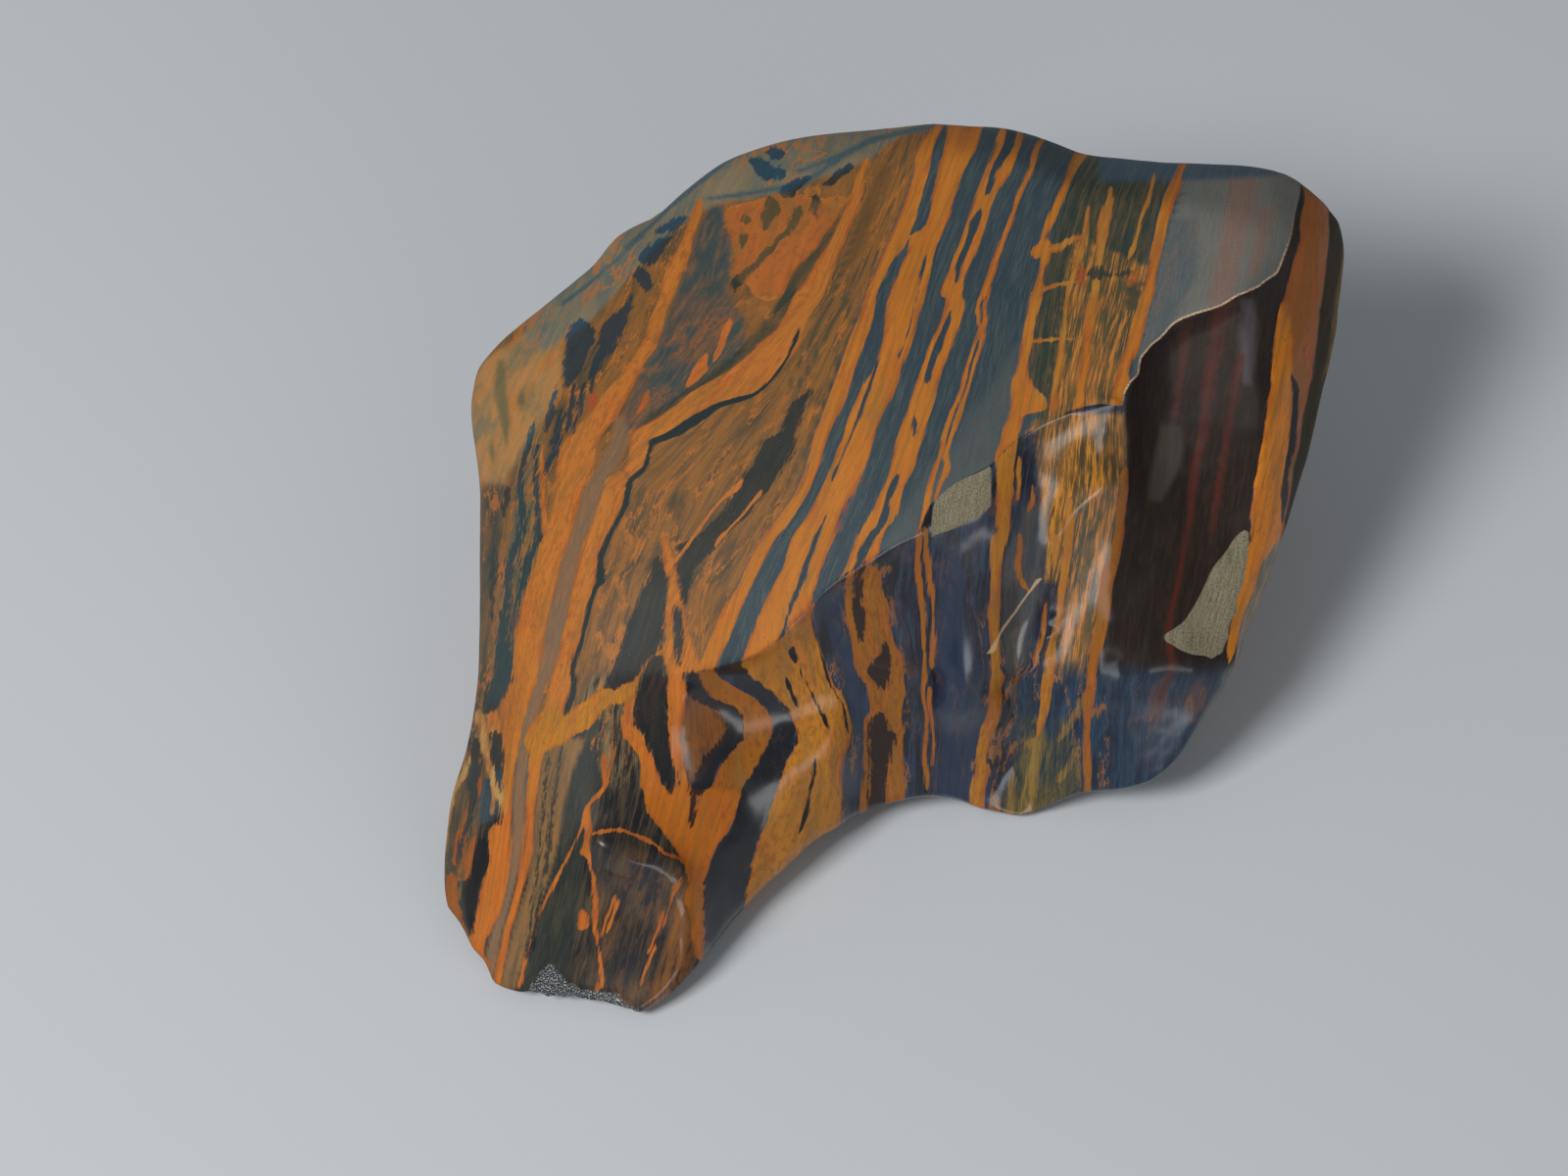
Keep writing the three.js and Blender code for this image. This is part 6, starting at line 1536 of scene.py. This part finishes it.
    def coat(self):
        """Share of clear polish: less on the ochre, none on rough ground or on the pale faces."""
        w = self.wires
        coat = w.weighed(COAT, (self.ochre, COAT_ON_OCHRE))
        coat = w.math("MULTIPLY", self.show(self.fields["roughness"], "polish"), coat)
        return w.math("MULTIPLY", coat, w.math("SUBTRACT", 1.0, self.pale))

    def bump(self):
        """Fine hairlines in the polish."""
        w = self.wires
        made = w.node("ShaderNodeBump")
        made.inputs["Strength"].default_value = BUMP_STRENGTH
        made.inputs["Distance"].default_value = BUMP_DEPTH
        w.join(w.math("MULTIPLY", self.fields["hairs"], BUMP_HAIRS), made.inputs["Height"])
        return made.outputs[0]


def stone_material(settings):
    """Polished banded stone."""
    material = bpy.data.materials.new("tiger iron")
    material.use_nodes = True
    tree = material.node_tree
    tree.nodes.clear()
    skin = Skin(tree, settings)
    colour = skin.ground()
    for layer in (
        skin.veins,
        skin.dull_bands,
        skin.ochre_bands,
        skin.dark_bands,
        skin.glints,
        skin.threads,
        skin.pale_faces,
        skin.cream_bands,
        skin.broken_tip,
        skin.painted_ridge_highlight,
    ):
        colour = layer(colour)

    w = skin.wires
    shader = w.node("ShaderNodeBsdfPrincipled")
    shader.inputs["IOR"].default_value = settings.gloss_ior
    shader.inputs["Coat IOR"].default_value = COAT_IOR
    shader.inputs["Coat Roughness"].default_value = COAT_ROUGHNESS
    w.join(colour, shader.inputs["Base Color"])
    w.join(skin.roughness(), shader.inputs["Roughness"])
    w.join(skin.coat(), shader.inputs["Coat Weight"])
    w.join(skin.bump(), shader.inputs["Normal"])
    out = w.node("ShaderNodeOutputMaterial")
    w.join(shader.outputs[0], out.inputs["Surface"])
    return material


def plain_material(name, colour, roughness):
    """One flat colour."""
    material = bpy.data.materials.new(name)
    material.use_nodes = True
    shader = material.node_tree.nodes["Principled BSDF"]
    shader.inputs["Base Color"].default_value = colour
    shader.inputs["Roughness"].default_value = roughness
    return material


def toward(place, aim):
    """The turn that points a lamp or a camera from a place to its aim."""
    return (aim - Vector(place)).to_track_quat("-Z", "Y").to_euler()


# ---------------------------------------------------------------- settings


class StoneSettings(bpy.types.PropertyGroup):
    """What a user would change about the stone."""

    crease_angle: bpy.props.FloatProperty(
        name="Crease angle", description="Edges that turn by more than this stay firm",
        default=math.radians(30), subtype="ANGLE",
    )
    wander: bpy.props.FloatProperty(
        name="Wander", description="How far the edges of the bands wander", default=0.5 * MM, unit="LENGTH"
    )
    shake: bpy.props.FloatProperty(
        name="Shake", description="How rough the edges of the bands are", default=0.14 * MM, unit="LENGTH"
    )
    ragged: bpy.props.FloatProperty(
        name="Ragged edge", description="How far long streaks eat into the bands",
        default=0.8 * MM, unit="LENGTH",
    )
    feather: bpy.props.FloatProperty(
        name="Feathered edge", description="How far hairlines eat into the bands",
        default=0.5 * MM, unit="LENGTH",
    )
    edge: bpy.props.FloatProperty(
        name="Band edge", description="Half the width of a band's soft edge",
        default=0.1 * MM, unit="LENGTH",
    )
    gloss_ior: bpy.props.FloatProperty(
        name="Index of refraction", description="How strongly the stone reflects under its polish",
        default=1.2,
    )


class StageSettings(bpy.types.PropertyGroup):
    """The floor, the lights and the camera."""

    floor_colour: bpy.props.FloatVectorProperty(
        name="Floor colour", description="Colour of the plain floor",
        default=(0.46, 0.48, 0.5), size=3, min=0, max=1, subtype="COLOR",
    )
    key_power: bpy.props.FloatProperty(
        name="Key light", description="Power of the large light", default=7.6, unit="POWER"
    )
    fill_power: bpy.props.FloatProperty(
        name="Fill light", description="Power of the light from the front", default=2.6, unit="POWER"
    )
    world_light: bpy.props.FloatProperty(
        name="Room light", description="Strength of the even light from all around", default=0.26
    )
    lens: bpy.props.FloatProperty(
        name="Lens", description="Focal length of the camera", default=101.25, unit="CAMERA"
    )


# ---------------------------------------------------------------- operators


class STONE_OT_build(bpy.types.Operator):
    """Build the stone with its bands"""

    bl_idname = "tiger_iron.stone"
    bl_label = "Build the stone"

    def execute(self, context):
        settings = context.scene.tiger_iron_stone
        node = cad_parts.get("stone")
        if node is None:
            raise RuntimeError("the frame has no node called stone")
        points, faces = cad_mesh(node)
        points, faces = refine(points, faces, sharp_edges(points, faces, settings.crease_angle))
        points, faces = refine(points, faces, ())
        deep = depths(points, faces)
        sheet = sheet_of(points)
        x = sheet[:, 0] + BACK_TURN * deep
        y = sheet[:, 1] + BACK_RISE * deep
        side = ridge_side(x, y)
        points = calm(points, faces, calm_share(x, y, deep))
        raised = relief(points, x, y, side, deep)
        points = points + vertex_normals(points, faces) * raised[:, None] * MM
        points[:, 2] = np.maximum(points[:, 2], 0.0)  # nothing sinks into the floor

        mesh = bpy.data.meshes.new("stone_rough")
        mesh.from_pydata([tuple(p) for p in points], [], [tuple(f) for f in faces])
        mesh.shade_smooth()
        for name, kind, key, values in skin_attributes(x, y, side, deep):
            made = mesh.attributes.new(name, kind, "POINT")
            made.data.foreach_set(key, values.astype(np.float32).ravel())
        mesh.materials.append(stone_material(settings))
        stone = bpy.data.objects.new("stone_rough", mesh)
        context.scene.collection.objects.link(stone)
        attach(stone, "root")
        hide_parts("stone")
        return {"FINISHED"}


class STAGE_OT_build(bpy.types.Operator):
    """Build the floor, the lights and the camera"""

    bl_idname = "tiger_iron.stage"
    bl_label = "Build the stage"

    def execute(self, context):
        settings = context.scene.tiger_iron_stage
        scene = context.scene
        mesh = bpy.data.meshes.new("floor")
        signs = ((-1, -1), (1, -1), (1, 1), (-1, 1))
        mesh.from_pydata([(FLOOR_HALF * x, FLOOR_HALF * y, 0) for x, y in signs], [], [(0, 1, 2, 3)])
        floor_colour = (*settings.floor_colour, 1.0)
        mesh.materials.append(plain_material("floor", floor_colour, FLOOR_ROUGHNESS))
        floor = bpy.data.objects.new("floor", mesh)
        scene.collection.objects.link(floor)

        aim = Vector(ORIGIN) * MM
        for name, power, size, place in LIGHTS:
            data = bpy.data.lights.new(name, "AREA")
            data.energy = getattr(settings, power)
            data.shape = "RECTANGLE"
            data.size, data.size_y = size
            lamp = bpy.data.objects.new(name, data)
            lamp.location = place
            lamp.rotation_euler = toward(place, aim)
            scene.collection.objects.link(lamp)

        world = bpy.data.worlds.new("room")
        world.use_nodes = True
        room = world.node_tree.nodes["Background"]
        room.inputs["Color"].default_value = ROOM_COLOUR
        room.inputs["Strength"].default_value = settings.world_light
        scene.world = world

        data = bpy.data.cameras.new("camera")
        data.lens = settings.lens
        data.sensor_width = SENSOR_WIDTH
        camera = bpy.data.objects.new("camera", data)
        camera.location = eye_point()
        camera.rotation_euler = toward(camera.location, aim)
        scene.collection.objects.link(camera)
        scene.camera = camera
        scene.view_settings.view_transform = "Standard"
        return {"FINISHED"}


class STONE_PT_panel(bpy.types.Panel):
    """Lists the stone and the stage with their settings"""

    bl_idname = "STONE_PT_panel"
    bl_label = "Tiger iron"
    bl_space_type = "VIEW_3D"
    bl_region_type = "UI"
    bl_category = "Tiger iron"

    def draw(self, context):
        for group, operator in (
            ("tiger_iron_stone", STONE_OT_build),
            ("tiger_iron_stage", STAGE_OT_build),
        ):
            settings = getattr(context.scene, group)
            box = self.layout.box()
            for key in settings.bl_rna.properties.keys():
                if key not in ("rna_type", "name"):
                    box.prop(settings, key)
            box.operator(operator.bl_idname)


CLASSES = (StoneSettings, StageSettings, STONE_OT_build, STAGE_OT_build, STONE_PT_panel)


def register():
    for item in CLASSES:
        bpy.utils.register_class(item)
    bpy.types.Scene.tiger_iron_stone = bpy.props.PointerProperty(type=StoneSettings)
    bpy.types.Scene.tiger_iron_stage = bpy.props.PointerProperty(type=StageSettings)


def unregister():
    del bpy.types.Scene.tiger_iron_stage
    del bpy.types.Scene.tiger_iron_stone
    for item in reversed(CLASSES):
        bpy.utils.unregister_class(item)


def main():
    register()
    bpy.ops.tiger_iron.stone()
    bpy.ops.tiger_iron.stage()


if __name__ == "__main__":
    main()
